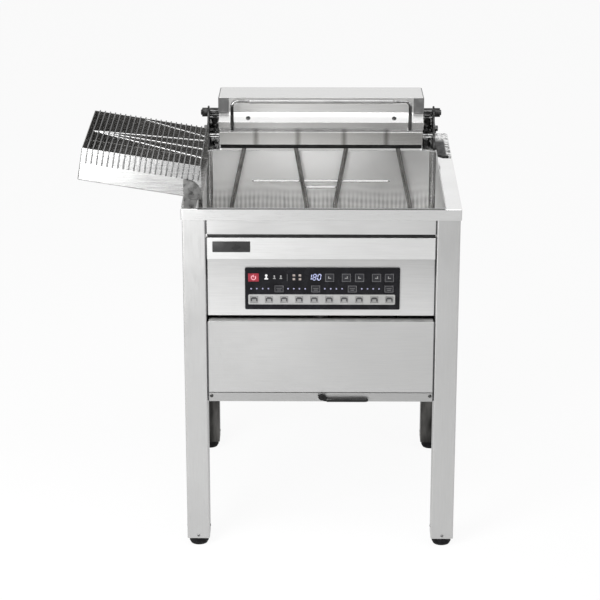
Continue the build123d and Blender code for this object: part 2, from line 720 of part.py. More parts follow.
def riser_x(index, z):
    """Where an element's riser stands at a height: its two risers lean apart going down."""
    top = RISER_TOP_X[index]
    foot_x = LANE_INNER_X + 3 * LANE_PITCH * index
    share = (ELEMENT_TOP - z) / (ELEMENT_TOP - ELEMENT_Z - RISER_STRAIGHT)
    return top + (foot_x - top) * share


def heating_element():
    """The right-hand element: one sheathed tube bent down from the head, through four lanes and up again."""
    lanes = [LANE_INNER_X + LANE_PITCH * number for number in range(4)]
    knee = ELEMENT_Z + RISER_STRAIGHT
    points = [
        (RISER_TOP_X[0], ELEMENT_Y, ELEMENT_TOP),
        (lanes[0], ELEMENT_Y, knee),
        (lanes[0], ELEMENT_Y, ELEMENT_Z),
        (lanes[0], LANE_FRONT, ELEMENT_Z),
        (lanes[1], LANE_FRONT, ELEMENT_Z),
        (lanes[1], LANE_REAR, ELEMENT_Z),
        (lanes[2], LANE_REAR, ELEMENT_Z),
        (lanes[2], LANE_FRONT, ELEMENT_Z),
        (lanes[3], LANE_FRONT, ELEMENT_Z),
        (lanes[3], ELEMENT_Y, ELEMENT_Z),
        (lanes[3], ELEMENT_Y, knee),
        (RISER_TOP_X[1], ELEMENT_Y, ELEMENT_TOP),
    ]
    radii = [SPLAY_BEND, RISER_BEND] + 6 * [LANE_BEND] + [RISER_BEND, SPLAY_BEND]
    return bent_tube(points, radii, ELEMENT_RADIUS)


def heater_screen():
    """The screen laid over the elements: a grid of bars on two bearers that rest on the tubes."""
    length = SCREEN_REAR - LANE_FRONT
    middle = (SCREEN_REAR + LANE_FRONT) / 2
    columns = int((SCREEN_WIDTH - 2 * SCREEN_RIM + SCREEN_WIRE) / SCREEN_PITCH)
    gap = Rectangle(SCREEN_PITCH - SCREEN_WIRE, length - 2 * SCREEN_RIM)
    gaps = GridLocations(SCREEN_PITCH, 0, columns, 1) * gap
    bottom = ELEMENT_Z + ELEMENT_RADIUS + FIT_GAP + BEARER_HEIGHT
    plate = Rectangle(SCREEN_WIDTH, length) - gaps
    screen = extrude(Plane.XY.offset(bottom) * Pos(0, middle) * plate, amount=SCREEN_THICK)
    bearers = [
        block(
            -SCREEN_WIDTH / 2,
            SCREEN_WIDTH / 2,
            y - SCREEN_WIRE,
            y + SCREEN_WIRE,
            bottom - BEARER_HEIGHT,
            bottom,
        )
        for y in (LANE_FRONT + BEARER_INSET, SCREEN_REAR - BEARER_INSET)
    ]
    return screen.fuse(*bearers)


def head_base():
    """The head's lower box, open at the top, with a lip along the front and holes for the risers."""
    base = block(-HEAD_HALF, HEAD_HALF, HEAD_FRONT, HEAD_REAR, HEAD_BOTTOM, HEAD_SPLIT)
    base = offset(base, -SHEET, openings=base.faces().sort_by(Axis.Z)[-1])
    lip_back = HEAD_FRONT + COVER_SETBACK + 2 * SHEET
    lip = block(-HEAD_HALF, HEAD_HALF, HEAD_FRONT - HEAD_LIP, lip_back, HEAD_SPLIT - SHEET, HEAD_SPLIT)
    base += lip
    for side in (-1, 1):
        for index in range(2):
            hole = Pos(side * riser_x(index, HEAD_BOTTOM), ELEMENT_Y) * RegularPolygon(RISER_HOLE, TUBE_SIDES)
            base -= extrude(Plane.XY.offset(HEAD_BOTTOM - SHEET) * hole, amount=3 * SHEET)
    return base


def cover_outline():
    """The head cover in side view: skirt, sloped ledge, raised terminal housing and sloped back."""
    return [
        (HEAD_FRONT + COVER_SETBACK, HEAD_SPLIT),
        (HEAD_FRONT + COVER_SETBACK, LEDGE_Z),
        (HOUSING_Y, LEDGE_REAR_Z),
        (HOUSING_Y, HOUSING_FRONT_Z),
        (HOUSING_REAR_Y, HOUSING_REAR_Z),
        (HOUSING_REAR_Y, HOUSING_BACK_Z),
        (HEAD_REAR + COVER_OVERLAP, HEAD_SPLIT),
    ]


def head_cover():
    """The head's folded cover, open underneath."""
    outside = cover_outline()
    inside = beside(outside, -SHEET)
    cover = prism_x(outside, -COVER_HALF, COVER_HALF)
    return cover - prism_x(inside, -COVER_HALF + SHEET, COVER_HALF - SHEET)


def head_end_cap():
    """The right-hand end cap: it covers the end of the raised housing's front and its side."""
    front = HOUSING_Y - END_CAP_THICK
    low = LEDGE_REAR_Z + END_CAP_CLEAR
    high = HOUSING_FRONT_Z - END_CAP_CLEAR
    outer = COVER_HALF + END_CAP_THICK
    face = block(outer - END_CAP_WIDTH, outer, front, HOUSING_Y, low, high)
    side_low = HINGE_Z + BARREL_RADIUS + END_CAP_CLEAR
    rear = HOUSING_REAR_Y - END_CAP_CLEAR
    rear_high = HOUSING_REAR_Z - END_CAP_CLEAR
    outline = [(front, low), (front, high), (rear, rear_high), (rear, side_low)]
    cheek = prism_x(outline, COVER_HALF, outer)
    return face + cheek


def lift_handle():
    """A bent rod handle that stands on the head's lip."""
    points = [
        (-HANDLE_HALF, HANDLE_Y, HEAD_SPLIT),
        (-HANDLE_HALF, HANDLE_Y, HANDLE_Z),
        (HANDLE_HALF, HANDLE_Y, HANDLE_Z),
        (HANDLE_HALF, HANDLE_Y, HEAD_SPLIT),
    ]
    return bent_tube(points, 2 * [HANDLE_BEND], HANDLE_RADIUS)


def handle_grip():
    """The grip tube on the handle's bar."""
    outer = rod_x(GRIP_RADIUS, -GRIP_HALF, GRIP_HALF, HANDLE_Y, HANDLE_Z)
    return outer - rod_x(HANDLE_RADIUS + GRIP_CLEARANCE, -GRIP_HALF, GRIP_HALF, HANDLE_Y, HANDLE_Z)


def hinge_pin():
    """The right-hand hinge pin: a barrel on the end of the cover and a shank that turns in the bracket."""
    barrel = rod_x(BARREL_RADIUS, COVER_HALF, BARREL_END, HINGE_Y, HINGE_Z)
    return barrel + rod_x(PIN_RADIUS, BARREL_END, CHEEK_X + SLEEVE_LENGTH, HINGE_Y, HINGE_Z)


def hinge_bracket():
    """The right-hand bracket: an angle on the rim with a rounded cheek, a web and a sleeve for the pin."""
    base_line = Line((BRACKET_FRONT, RIM_TOP), (BRACKET_REAR, RIM_TOP))
    round_top = Pos(HINGE_Y, HINGE_Z) * Circle(CHEEK_ROUND)
    outline = make_hull(base_line.edges() + round_top.edges())
    cheek = extrude(Plane.YZ.offset(CHEEK_X) * outline, amount=CHEEK_THICK)
    outer = RIM_WIDTH / 2 - BRACKET_EDGE
    inner = TANK_HALF + 2 * SHEET
    foot_outline = make_face(
        Polyline(
            (CHEEK_X, BRACKET_REAR),
            (CHEEK_X, BRACKET_FRONT),
            (inner, BRACKET_FRONT),
            (inner, TONGUE_FRONT + TONGUE_BEVEL),
            (inner + TONGUE_BEVEL, TONGUE_FRONT),
            (outer, TONGUE_FRONT),
            (outer, BRACKET_REAR),
            close=True,
        )
    )
    bracket = cheek + extrude(Plane.XY.offset(RIM_TOP) * foot_outline, amount=BRACKET_THICK)
    web_end = COVER_HALF + END_CAP_THICK + WEB_GAP
    web_front = HINGE_Y + WEB_SETBACK
    web_top = RIM_TOP + WEB_HEIGHT
    bracket += block(web_end, CHEEK_X + 1, web_front, web_front + BRACKET_THICK, RIM_TOP, web_top)
    bracket += rod_x(BARREL_RADIUS, CHEEK_X, CHEEK_X + SLEEVE_LENGTH, HINGE_Y, HINGE_Z)
    bore = PIN_RADIUS + PIN_CLEARANCE
    return bracket - rod_x(bore, CHEEK_X - 1, CHEEK_X + SLEEVE_LENGTH + 1, HINGE_Y, HINGE_Z)


def probe(side):
    """A temperature probe through the tank's low front wall, held by a nut outside."""
    wall = TANK_LOW_FRONT - SHEET
    rod = rod_y(PROBE_RADIUS, wall, TANK_LOW_FRONT + PROBE_INSIDE, side * PROBE_X, PROBE_Z)
    nut = Pos(side * PROBE_X, PROBE_Z) * RegularPolygon(PROBE_NUT_RADIUS, 6)
    return rod + prism_y(nut, wall - PROBE_NUT_LENGTH, wall)


def drain_pipe():
    """The pipe from the sump down to the valve."""
    top = TANK_FLOOR - SHEET
    bottom = STEM_Z + VALVE_HEIGHT / 2
    ring = RegularPolygon(PIPE_RADIUS, 2 * TUBE_SIDES) - RegularPolygon(PIPE_BORE, 2 * TUBE_SIDES)
    return extrude(Plane.XY.offset(bottom) * Pos(VALVE_X, DRAIN_Y) * ring, amount=top - bottom)


def valve_body():
    """A ball valve: a hexagon body, a stem boss towards the front and the outlet spigot."""
    low = STEM_Z - VALVE_HEIGHT / 2
    high = STEM_Z + VALVE_HEIGHT / 2
    hexagon = Pos(VALVE_X, DRAIN_Y) * RegularPolygon(VALVE_RADIUS, 6)
    body = extrude(Plane.XY.offset(low) * hexagon, amount=VALVE_HEIGHT)
    body += rod_z(OUTLET_RADIUS, low - OUTLET_LENGTH, low, VALVE_X, DRAIN_Y)
    boss = Pos(VALVE_X, STEM_Z) * RegularPolygon(STEM_BOSS_RADIUS, 6)
    body += prism_y(boss, DRAIN_Y - STEM_BOSS_LENGTH, DRAIN_Y)
    body -= rod_z(VALVE_BORE, low - OUTLET_LENGTH - 1, high + 1, VALVE_X, DRAIN_Y)
    seat_front = DRAIN_Y - STEM_BOSS_LENGTH
    seat = rod_y(STEM_RADIUS + STEM_CLEARANCE, seat_front - 1, seat_front + STEM_SEAT, VALVE_X, STEM_Z)
    return body - seat


def lever_front_y():
    """The front of the lever plate, in front of the bottom rail."""
    return FACE_Y - LEVER_CLEARANCE - LEVER_THICK


def valve_stem():
    """The stem from the valve out through the bottom rail to the lever."""
    back = DRAIN_Y - STEM_BOSS_LENGTH + STEM_SEAT - FIT_GAP
    return rod_y(STEM_RADIUS, lever_front_y() + LEVER_THICK, back, VALVE_X, STEM_Z)


def lever_arm(clearance):
    """The lever's straight arm in front view, grown by a clearance."""
    width = LEVER_WIDTH + 2 * clearance
    centre = Pos(VALVE_X + LEVER_LENGTH / 2, STEM_Z - LEVER_DROP)
    return centre * Rectangle(LEVER_LENGTH + 2 * clearance, width)


def valve_lever():
    """The flat lever: a round hub on the end of the stem and an arm that points right when shut."""
    hub = Pos(VALVE_X, STEM_Z) * Circle(LEVER_HUB)
    return prism_y(hub + lever_arm(0), lever_front_y(), lever_front_y() + LEVER_THICK)


def lever_grip():
    """The vinyl sleeve pushed over the lever's arm."""
    middle_y = lever_front_y() + LEVER_THICK / 2
    oval = RectangleRounded(SLEEVE_THICK, SLEEVE_HEIGHT, SLEEVE_CORNER)
    section = Pos(middle_y, STEM_Z - LEVER_DROP) * oval
    sleeve = extrude(Plane.YZ.offset(VALVE_X + SLEEVE_START) * section, amount=SLEEVE_END - SLEEVE_START)
    front = lever_front_y() - SLEEVE_CLEARANCE
    return sleeve - prism_y(lever_arm(SLEEVE_CLEARANCE), front, front + LEVER_THICK + 2 * SLEEVE_CLEARANCE)


def tray_plane():
    """The tray's own frame: x runs down its floor towards the tank, y to the rear, z square to the floor."""
    lean = radians(TRAY_TILT)
    low_z = RIM_TOP + TRAY_RIM_GAP - TRAY_REACH * tan(lean)
    origin = (TRAY_END_X, TRAY_FRONT, low_z)
    return Plane(origin=origin, x_dir=(cos(lean), 0, -sin(lean)), z_dir=(sin(lean), 0, cos(lean)))


def drain_tray():
    """The sloped pan: a floor, three walls, an open end over the tank and a drip lip."""
    spare = TRAY_HEIGHT
    outside = block(-TRAY_LENGTH, spare, 0, TRAY_DEPTH, 0, TRAY_HEIGHT)
    inside = block(-TRAY_LENGTH + SHEET, 2 * spare, SHEET, TRAY_DEPTH - SHEET, SHEET, 2 * TRAY_HEIGHT)
    pan = tray_plane() * (outside - inside)
    end = TRAY_END_X
    pan -= block(end, end + 3 * spare, -RIM_DEPTH, RIM_DEPTH, RIM_TOP - spare, RIM_TOP + 3 * spare)
    lip_top = tray_plane().origin.Z + SHEET
    lip = block(end - SHEET, end, TRAY_FRONT, TRAY_REAR, lip_top - TRAY_LIP, lip_top)
    return pan + lip


def hanger_plate(front, back):
    """A quarter-round plate on the rim, with one leg in the tank and one through the deck's slot."""
    left = -RIM_WIDTH / 2 + HANGER_OUTER
    rest = RIM_TOP + HANGER_REST
    shoulder = RIM_TOP + HANGER_SHOULDER
    inner_right = left + HANGER_ROUND
    inner_left = -TANK_HALF + WALL_CLEARANCE
    leg_left = HANGER_LEG_X - OUTER_LEG_WIDTH / 2
    leg_right = HANGER_LEG_X + OUTER_LEG_WIDTH / 2
    crown = CenterArc((left, shoulder), HANGER_ROUND, 0, 90)
    edges = Polyline(
        (left, shoulder + HANGER_ROUND),
        (left, rest),
        (leg_left, rest),
        (leg_left, RIM_TOP - OUTER_LEG_DEPTH),
        (leg_right, RIM_TOP - OUTER_LEG_DEPTH),
        (leg_right, rest),
        (inner_left, rest),
        (inner_left, RIM_TOP - INNER_LEG_DEPTH),
        (inner_right, RIM_TOP - INNER_LEG_DEPTH),
        (inner_right, shoulder),
    )
    return prism_y(make_face(edges.edges() + crown.edges()), front, back)


def rack_wire(x):
    """One wire of the rack: it lies on the tray's walls and is hooked down outside the front one."""
    z = TRAY_HEIGHT + RACK_REST + RACK_WIRE
    front = -RACK_HOOK_GAP - RACK_WIRE
    path = Polyline((x, TRAY_DEPTH, z), (x, front, z), (x, front, TRAY_HEIGHT - RACK_HOOK))
    section = Plane(origin=path @ 0, z_dir=path % 0) * Rectangle(2 * RACK_WIRE, 2 * RACK_WIRE)
    return sweep(section, path=path, transition=Transition.RIGHT)


def rack_stay(right_y):
    """A stay under the wires. All the stays meet at the high end and spread towards the tank."""
    z = TRAY_HEIGHT + RACK_REST - STAY_RADIUS + STAY_BITE
    low_x = -RACK_START + RACK_WIRE
    high_x = -RACK_START - (RACK_WIRES - 1) * RACK_PITCH - RACK_WIRE
    path = Line((high_x, STAY_MEET_Y, z), (low_x, right_y, z))
    square = Rectangle(2 * STAY_RADIUS, 2 * STAY_RADIUS)
    section = Plane(origin=path @ 0, x_dir=(0, 0, 1), z_dir=path % 0) * square
    return sweep(section, path=path)


def tray_rack():
    """The wire rack: a row of hooked wires welded to three stays."""
    wires = [rack_wire(-RACK_START - number * RACK_PITCH) for number in range(RACK_WIRES)]
    middle = STAY_MEET_Y + STAY_SHIFT
    stays = [rack_stay(middle + step * STAY_SPREAD) for step in (-1, 0, 1)]
    return tray_plane() * stays[0].fuse(*stays[1:], *wires)


def contactor():
    """The power contactor on the bottom pan: a block with stepped terminal shelves."""
    base = RAIL_BOTTOM + 2 * SHEET
    middle = CONTACTOR_HEIGHT / 2
    y0 = CONTACTOR_Y - CONTACTOR_DEPTH / 2
    y1 = CONTACTOR_Y + CONTACTOR_DEPTH / 2
    outline = [
        (y0, base),
        (y1, base),
        (y1, base + middle),
        (y1 - CONTACTOR_STEP, base + middle),
        (y1 - CONTACTOR_STEP, base + CONTACTOR_HEIGHT),
        (y0 + CONTACTOR_STEP, base + CONTACTOR_HEIGHT),
        (y0 + CONTACTOR_STEP, base + middle),
        (y0, base + middle),
    ]
    return prism_x(outline, CONTACTOR_X - CONTACTOR_WIDTH / 2, CONTACTOR_X + CONTACTOR_WIDTH / 2)


def cable_gland():
    """The cable gland in the rear panel: a thread between two hexagon nuts, with the cable's bore."""
    back = REAR_FACE_Y + GLAND_LENGTH
    front = REAR_FACE_Y - SHEET - GLAND_NUT_LENGTH
    nut = Pos(GLAND_X, GLAND_Z) * RegularPolygon(GLAND_NUT, 6)
    gland = prism_y(nut, front, REAR_FACE_Y - SHEET)
    gland += prism_y(nut, REAR_FACE_Y, back)
    neck = Pos(GLAND_X, GLAND_Z) * RegularPolygon(GLAND_THREAD, 2 * TUBE_SIDES)
    gland += prism_y(neck, REAR_FACE_Y - SHEET, REAR_FACE_Y)
    return gland - rod_y(GLAND_BORE, front - 1, back + 1, GLAND_X, GLAND_Z)


def group(*pieces):
    """Separate solids kept in one node."""
    return Compound(children=list(pieces))


def build():
    """Every node of the fryer by name."""
    corners = [("front_left", -1, -1), ("front_right", 1, -1), ("rear_left", -1, 1), ("rear_right", 1, 1)]
    nodes = {f"leg_{name}": leg(side, end) for name, side, end in corners}
    nodes["levelling_feet"] = group(*[foot(side, end) for _, side, end in corners])
    nodes["oil_tank"] = oil_tank()
    nodes["rim_deck"] = rim_deck()
    nodes["top_rail"] = top_rail()
    nodes["control_fascia"] = control_fascia()
    nodes["display_panel"] = display_panel()
    nodes["menu_strip"] = menu_strip()
    for name, x, z, width, height in key_places():
        nodes[name] = key(x, z, width, height)
    nodes["front_panel"] = front_panel()
    nodes["bottom_rail"] = bottom_rail()
    nodes["side_panel_right"] = side_panel()
    nodes["side_panel_left"] = mirrored(side_panel())
    nodes["rear_panel"] = rear_panel()
    nodes["bottom_pan"] = bottom_pan()
    nodes["control_board"] = control_board()
    nodes["heating_element_right"] = heating_element()
    nodes["heating_element_left"] = mirrored(heating_element())
    nodes["heater_screen"] = heater_screen()
    nodes["head_base"] = head_base()
    nodes["head_cover"] = head_cover()
    nodes["head_end_caps"] = group(head_end_cap(), mirrored(head_end_cap()))
    nodes["lift_handle"] = lift_handle()
    nodes["handle_grip"] = handle_grip()
    nodes["hinge_pins"] = group(hinge_pin(), mirrored(hinge_pin()))
    nodes["hinge_bracket_right"] = hinge_bracket()
    nodes["hinge_bracket_left"] = mirrored(hinge_bracket())
    nodes["temperature_probes"] = group(probe(-1), probe(1))
    nodes["drain_pipe"] = drain_pipe()
    nodes["valve_body"] = valve_body()
    nodes["valve_stem"] = valve_stem()
    nodes["valve_lever"] = valve_lever()
    nodes["lever_grip"] = lever_grip()
    nodes["drain_tray"] = drain_tray()
    nodes["tray_hangers"] = group(*[hanger_plate(front, back) for front, back in HANGER_SPANS])
    nodes["tray_rack"] = tray_rack()
    nodes["contactor"] = contactor()
    nodes["cable_gland"] = cable_gland()
    return nodes


os.makedirs("parts", exist_ok=True)
for node, shape in build().items():
    export_step(shape, f"parts/{node}.step")
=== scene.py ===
import bmesh
import bpy
from math import cos, pi, radians, sin, tan
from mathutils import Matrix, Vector


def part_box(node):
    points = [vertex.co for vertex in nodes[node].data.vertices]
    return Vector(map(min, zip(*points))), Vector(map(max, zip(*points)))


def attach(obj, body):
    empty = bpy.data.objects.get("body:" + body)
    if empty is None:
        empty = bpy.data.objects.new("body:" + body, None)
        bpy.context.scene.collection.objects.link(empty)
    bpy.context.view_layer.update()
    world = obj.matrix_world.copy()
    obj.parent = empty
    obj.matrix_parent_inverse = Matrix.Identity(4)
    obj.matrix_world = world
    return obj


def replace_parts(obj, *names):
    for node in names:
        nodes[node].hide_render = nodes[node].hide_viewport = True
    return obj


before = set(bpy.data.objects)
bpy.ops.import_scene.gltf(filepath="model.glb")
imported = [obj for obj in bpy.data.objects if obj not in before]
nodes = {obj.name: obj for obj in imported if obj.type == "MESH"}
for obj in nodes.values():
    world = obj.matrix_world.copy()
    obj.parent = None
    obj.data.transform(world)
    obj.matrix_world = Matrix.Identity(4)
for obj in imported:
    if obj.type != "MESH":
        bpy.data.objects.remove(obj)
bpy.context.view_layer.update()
scene = bpy.context.scene

# Sizes in millimetres, in the frame of the solids
MM = 0.001
FACE_Y = -297.5
LEG_X = 272.5
LEG_IN = 247.5
LEG_OUT = 297.5
TANK_HALF = 265.0
TANK_FRONT = -291.0
TANK_REAR = 153.0
TANK_TOP = 791.0
PANEL_Y = -293.5
KEY_Y = -294.5
UPPER_ROW = 637.0
TIMER_ROW = 611.5
# Across-places of the painted riser reflections on the head's base, in millimetres.
RISER_REFLECTION_X = (53.0, 150.0)
TRAY_ORIGIN = (-258.0, -230.0, 793.87)
TRAY_TILT = radians(9.2)
TRAY_UP = Vector((sin(TRAY_TILT), 0.0, cos(TRAY_TILT)))
FORWARD = (0, -1, 0)
BACKWARD = (0, 1, 0)


def at(x, y, z):
    """A point given in millimetres, in metres."""
    return Vector((x, y, z)) * MM


# Materials

def new_material(name, colour, metallic, roughness, **sockets):
    """A material whose even values sit on the shader itself."""
    material = bpy.data.materials.new(name)
    material.use_nodes = True
    shader = material.node_tree.nodes["Principled BSDF"]
    shader.inputs["Base Color"].default_value = (*colour, 1.0)
    shader.inputs["Metallic"].default_value = metallic
    shader.inputs["Roughness"].default_value = roughness
    for socket, value in sockets.items():
        shader.inputs[socket.replace("_", " ")].default_value = value
    return material, material.node_tree, shader


def grey(tone, warmth=0.003):
    """A grey with a little less blue in it."""
    return (tone, tone, tone - warmth)


def scaled(colour, factor):
    """A colour made darker or lighter."""
    return tuple(min(1.0, channel * factor) for channel in colour)


def add_node(tree, kind, inputs, **settings):
    """A shader node with its settings, and with each input as an even value or as another node's pattern."""
    node = tree.nodes.new("ShaderNode" + kind)
    for setting, value in settings.items():
        setattr(node, setting, value)
    for socket, value in inputs.items():
        if isinstance(value, bpy.types.NodeSocket):
            tree.links.new(value, node.inputs[socket])
        else:
            node.inputs[socket].default_value = value
    return node


def own_place(tree):
    """The place of a point in the frame of the solids, in metres."""
    return tree.nodes.new("ShaderNodeTexCoord").outputs["Object"]


def along_axis(tree, axis):
    """The place of a point along one axis, in metres."""
    return add_node(tree, "SeparateXYZ", {"Vector": own_place(tree)}).outputs[axis]


def noise(tree, scale, detail=3.0, stretch=(1.0, 1.0, 1.0)):
    """A noise in the piece's own place, drawn out along the axes with a small stretch."""
    place = add_node(tree, "Mapping", {"Vector": own_place(tree), "Scale": stretch})
    inputs = {"Vector": place.outputs["Vector"], "Scale": scale, "Detail": detail}
    return add_node(tree, "TexNoise", inputs).outputs["Fac"]


def drawn_out(axis, stretch):
    """The scales that draw a noise out along one axis."""
    return tuple(stretch if name == axis else 1.0 for name in "XYZ")


def hairlines(tree, axis="X"):
    """The finest lines of a brushed sheet."""
    return noise(tree, 1400.0, 2.0, drawn_out(axis, 0.02))


def streaks(tree, axis="X"):
    """The broader lines of a brushed sheet."""
    return noise(tree, 420.0, 4.0, drawn_out(axis, 0.03))


def bands(tree, axis, pitch, distortion):
    """Soft bands across an axis, a given number of millimetres apart."""
    pitch_at_scale_one = 2 * pi / 20
    inputs = {"Vector": own_place(tree), "Distortion": distortion, "Detail Scale": 0.6}
    inputs["Scale"] = pitch_at_scale_one / (pitch * MM)
    return add_node(tree, "TexWave", inputs, bands_direction=axis).outputs["Fac"]


def spread(value, low, high, start=0.3, end=0.7):
    """Stretches a pattern over a range of values."""
    inputs = {"Value": value, "From Min": start, "From Max": end, "To Min": low, "To Max": high}
    return add_node(value.id_data, "MapRange", inputs).outputs["Result"]


def rises(value, start, end):
    """A mask that goes from zero to one between two values."""
    return spread(value, 0.0, 1.0, start, end)


def falls(value, start, end):
    """A mask that goes from one to zero between two values."""
    return spread(value, 1.0, 0.0, start, end)


def tint(value, dark, light, start=0.3, end=0.7):
    """Turns a pattern into a run between two colours."""
    ramp = add_node(value.id_data, "ValToRGB", {"Fac": value})
    for stop, place, colour in zip(ramp.color_ramp.elements, (start, end), (dark, light)):
        stop.position = place
        stop.color = (*colour, 1.0)
    return ramp.outputs["Color"]


def blend_colours(value, first, second):
    """Mixes two colour patterns by a third pattern."""
    inputs = {"Factor": value, "A": first, "B": second}
    return add_node(value.id_data, "Mix", inputs, data_type="RGBA").outputs["Result"]


def join_values(operation, first, second=0.0):
    """A pattern worked out from another and from a second one or a value."""
    return add_node(first.id_data, "Math", {0: first, 1: second}, operation=operation).outputs["Value"]


def plus(first, second):
    """Two patterns added up."""
    return join_values("ADD", first, second)


def times(first, second):
    """One pattern times another, so that a mask keeps only its part of a pattern."""
    return join_values("MULTIPLY", first, second)


def larger(first, second):
    """The larger of two patterns."""
    return join_values("MAXIMUM", first, second)


def off_middle(tree):
    """How far a point is to the left or right of the middle, in metres."""
    return join_values("ABSOLUTE", along_axis(tree, "X"))


def faces_point(tree, point):
    """One on the sides of a piece that face a point, and zero on those that face away from it."""
    inward = add_node(tree, "VectorMath", {0: point, 1: own_place(tree)}, operation="SUBTRACT")
    sides = {0: inward.outputs["Vector"], 1: tree.nodes.new("ShaderNodeNewGeometry").outputs["Normal"]}
    facing = add_node(tree, "VectorMath", sides, operation="DOT_PRODUCT")
    return rises(facing.outputs["Value"], -0.001, 0.001)


def paint(shader, colour, roughness):
    """Gives a shader its patterns of colour and roughness."""
    tree = shader.id_data
    tree.links.new(colour, shader.inputs["Base Color"])
    tree.links.new(roughness, shader.inputs["Roughness"])


def raise_surface(shader, value, strength, depth):
    """Lets a pattern stand out of the surface."""
    tree = shader.id_data
    bump = add_node(tree, "Bump", {"Strength": strength, "Distance": depth * MM, "Height": value})
    tree.links.new(bump.outputs["Normal"], shader.inputs["Normal"])


def brushed_steel(name, colour, brush, contrast):
    """Brushed stainless: long hairlines along one axis, broader streaks and a slow cloud of smudges."""
    roughness = 0.42
    material, tree, shader = new_material(name, colour, 1.0, roughness)
    fine = hairlines(tree, brush)
    broad = streaks(tree, brush)
    clouds = noise(tree, 4.0)
    marks = plus(spread(broad, 0.0, 0.5), spread(clouds, 0.0, 0.5))
    shade = tint(marks, scaled(colour, 1.0 - contrast), scaled(colour, 1.0 + contrast), 0.15, 0.85)
    grain = spread(fine, roughness - 0.08, roughness + 0.08)
    paint(shader, shade, plus(grain, spread(clouds, -0.05, 0.06)))
    raise_surface(shader, plus(fine, broad), 0.06, 0.15)
    return material


def tank_steel():
    """The tank: satin walls with painted shade to the right, painted reflection stripes on the rear wall,
    stained low down, and a front slope painted darker as shade, most to the right.
    """
    material, tree, shader = new_material("tank_satin", (0.6, 0.6, 0.59), 1.0, 0.3)
    waves = noise(tree, 9.0, 0.0, (1.0, 1.0, 0.5))
    height = along_axis(tree, "Z")
    depth = along_axis(tree, "Y")
    across = along_axis(tree, "X")
    fresh = tint(waves, grey(0.93), grey(0.99), 0.1, 0.9)
    # Painted shade: the upper wall is painted darker towards the right, where less light falls.
    right_shade = tint(waves, grey(0.57), grey(0.67), 0.1, 0.9)
    upper = blend_colours(rises(across, 0.03, 0.18), fresh, right_shade)
    lower = tint(waves, grey(0.92), grey(0.98, 0.005), 0.1, 0.9)
    clean = blend_colours(falls(height, 0.67, 0.77), upper, lower)
    # Painted reflections: stripes at the screen's pitch and soft level bands, painted darker on the rear
    # wall.
    painted_dark_tone = tint(noise(tree, 90.0, 4.0, (1.0, 1.0, 0.2)), grey(0.48, 0.002), grey(0.7))
    upright = times(bands(tree, "X", 10.0, 1.5), spread(height, 0.8, 0.0, 0.67, 0.7))
    level = times(bands(tree, "Z", 19.0, 5.0), spread(height, 0.35, 0.0, 0.69, 0.73))
    rear = rises(depth, 0.13, 0.14)
    tone_pattern = times(plus(upright, level), rear)
    stained = tint(waves, (0.42, 0.39, 0.34), (0.54, 0.51, 0.46))
    low = spread(height, 0.75, 0.0, 0.56, 0.64)
    patchy = times(low, spread(noise(tree, 28.0, 5.0), 0.35, 1.0))
    # Painted shade: the front slope is painted darker, lightest at the left, for the shade it throws into
    # the rear wall.
    slope_cloud = noise(tree, 40.0, 5.0)
    lit_tone = tint(slope_cloud, (0.78, 0.775, 0.765), (0.92, 0.915, 0.905))
    dark_shade = tint(slope_cloud, (0.36, 0.355, 0.345), (0.5, 0.495, 0.485))
    slope_shade = blend_colours(rises(across, -0.05, 0.2), lit_tone, dark_shade)
    slope = times(falls(depth, -0.235, -0.205), falls(height, 0.73, 0.76))
    walls = blend_colours(tone_pattern, clean, painted_dark_tone)
    walls = blend_colours(patchy, walls, stained)
    walls = blend_colours(slope, walls, slope_shade)
    paint(shader, walls, spread(waves, 0.4, 0.5, 0.1, 0.9))
    return material


def head_steel():
    """The head's cover: polished, with a satin band along its front, a ledge painted bright as light from
    above and a skirt painted darker as shade.
    """
    material, tree, shader = new_material("steel_head", (0.64, 0.637, 0.63), 1.0, 0.22)
    clouds = noise(tree, 5.0)
    height = along_axis(tree, "Z")
    polished = tint(clouds, (0.58, 0.578, 0.572), (0.64, 0.638, 0.632))
    # Painted shade and light: the skirt is painted darker and the ledge painted bright, as shaded and lit
    # copies of the cover.
    shaded = tint(clouds, (0.4, 0.398, 0.393), (0.46, 0.458, 0.452))
    bright = tint(clouds, (0.86, 0.858, 0.854), (0.91, 0.908, 0.904))
    satin = tint(streaks(tree), (0.6, 0.597, 0.59), (0.68, 0.677, 0.67))
    ahead = falls(along_axis(tree, "Y"), 0.1645, 0.1655)
    band = times(ahead, rises(height, 0.8815, 0.883))
    skirt = falls(height, 0.8468, 0.8478)
    ledge = times(falls(height, 0.8815, 0.883), ahead)
    ledge = times(ledge, falls(skirt, 0.0, 1.0))
    cover = blend_colours(skirt, polished, shaded)
    cover = blend_colours(ledge, cover, bright)
    cover = blend_colours(band, cover, satin)
    paint(shader, cover, plus(spread(clouds, 0.16, 0.24), spread(band, 0.0, 0.2, 0.0, 1.0)))
    return material


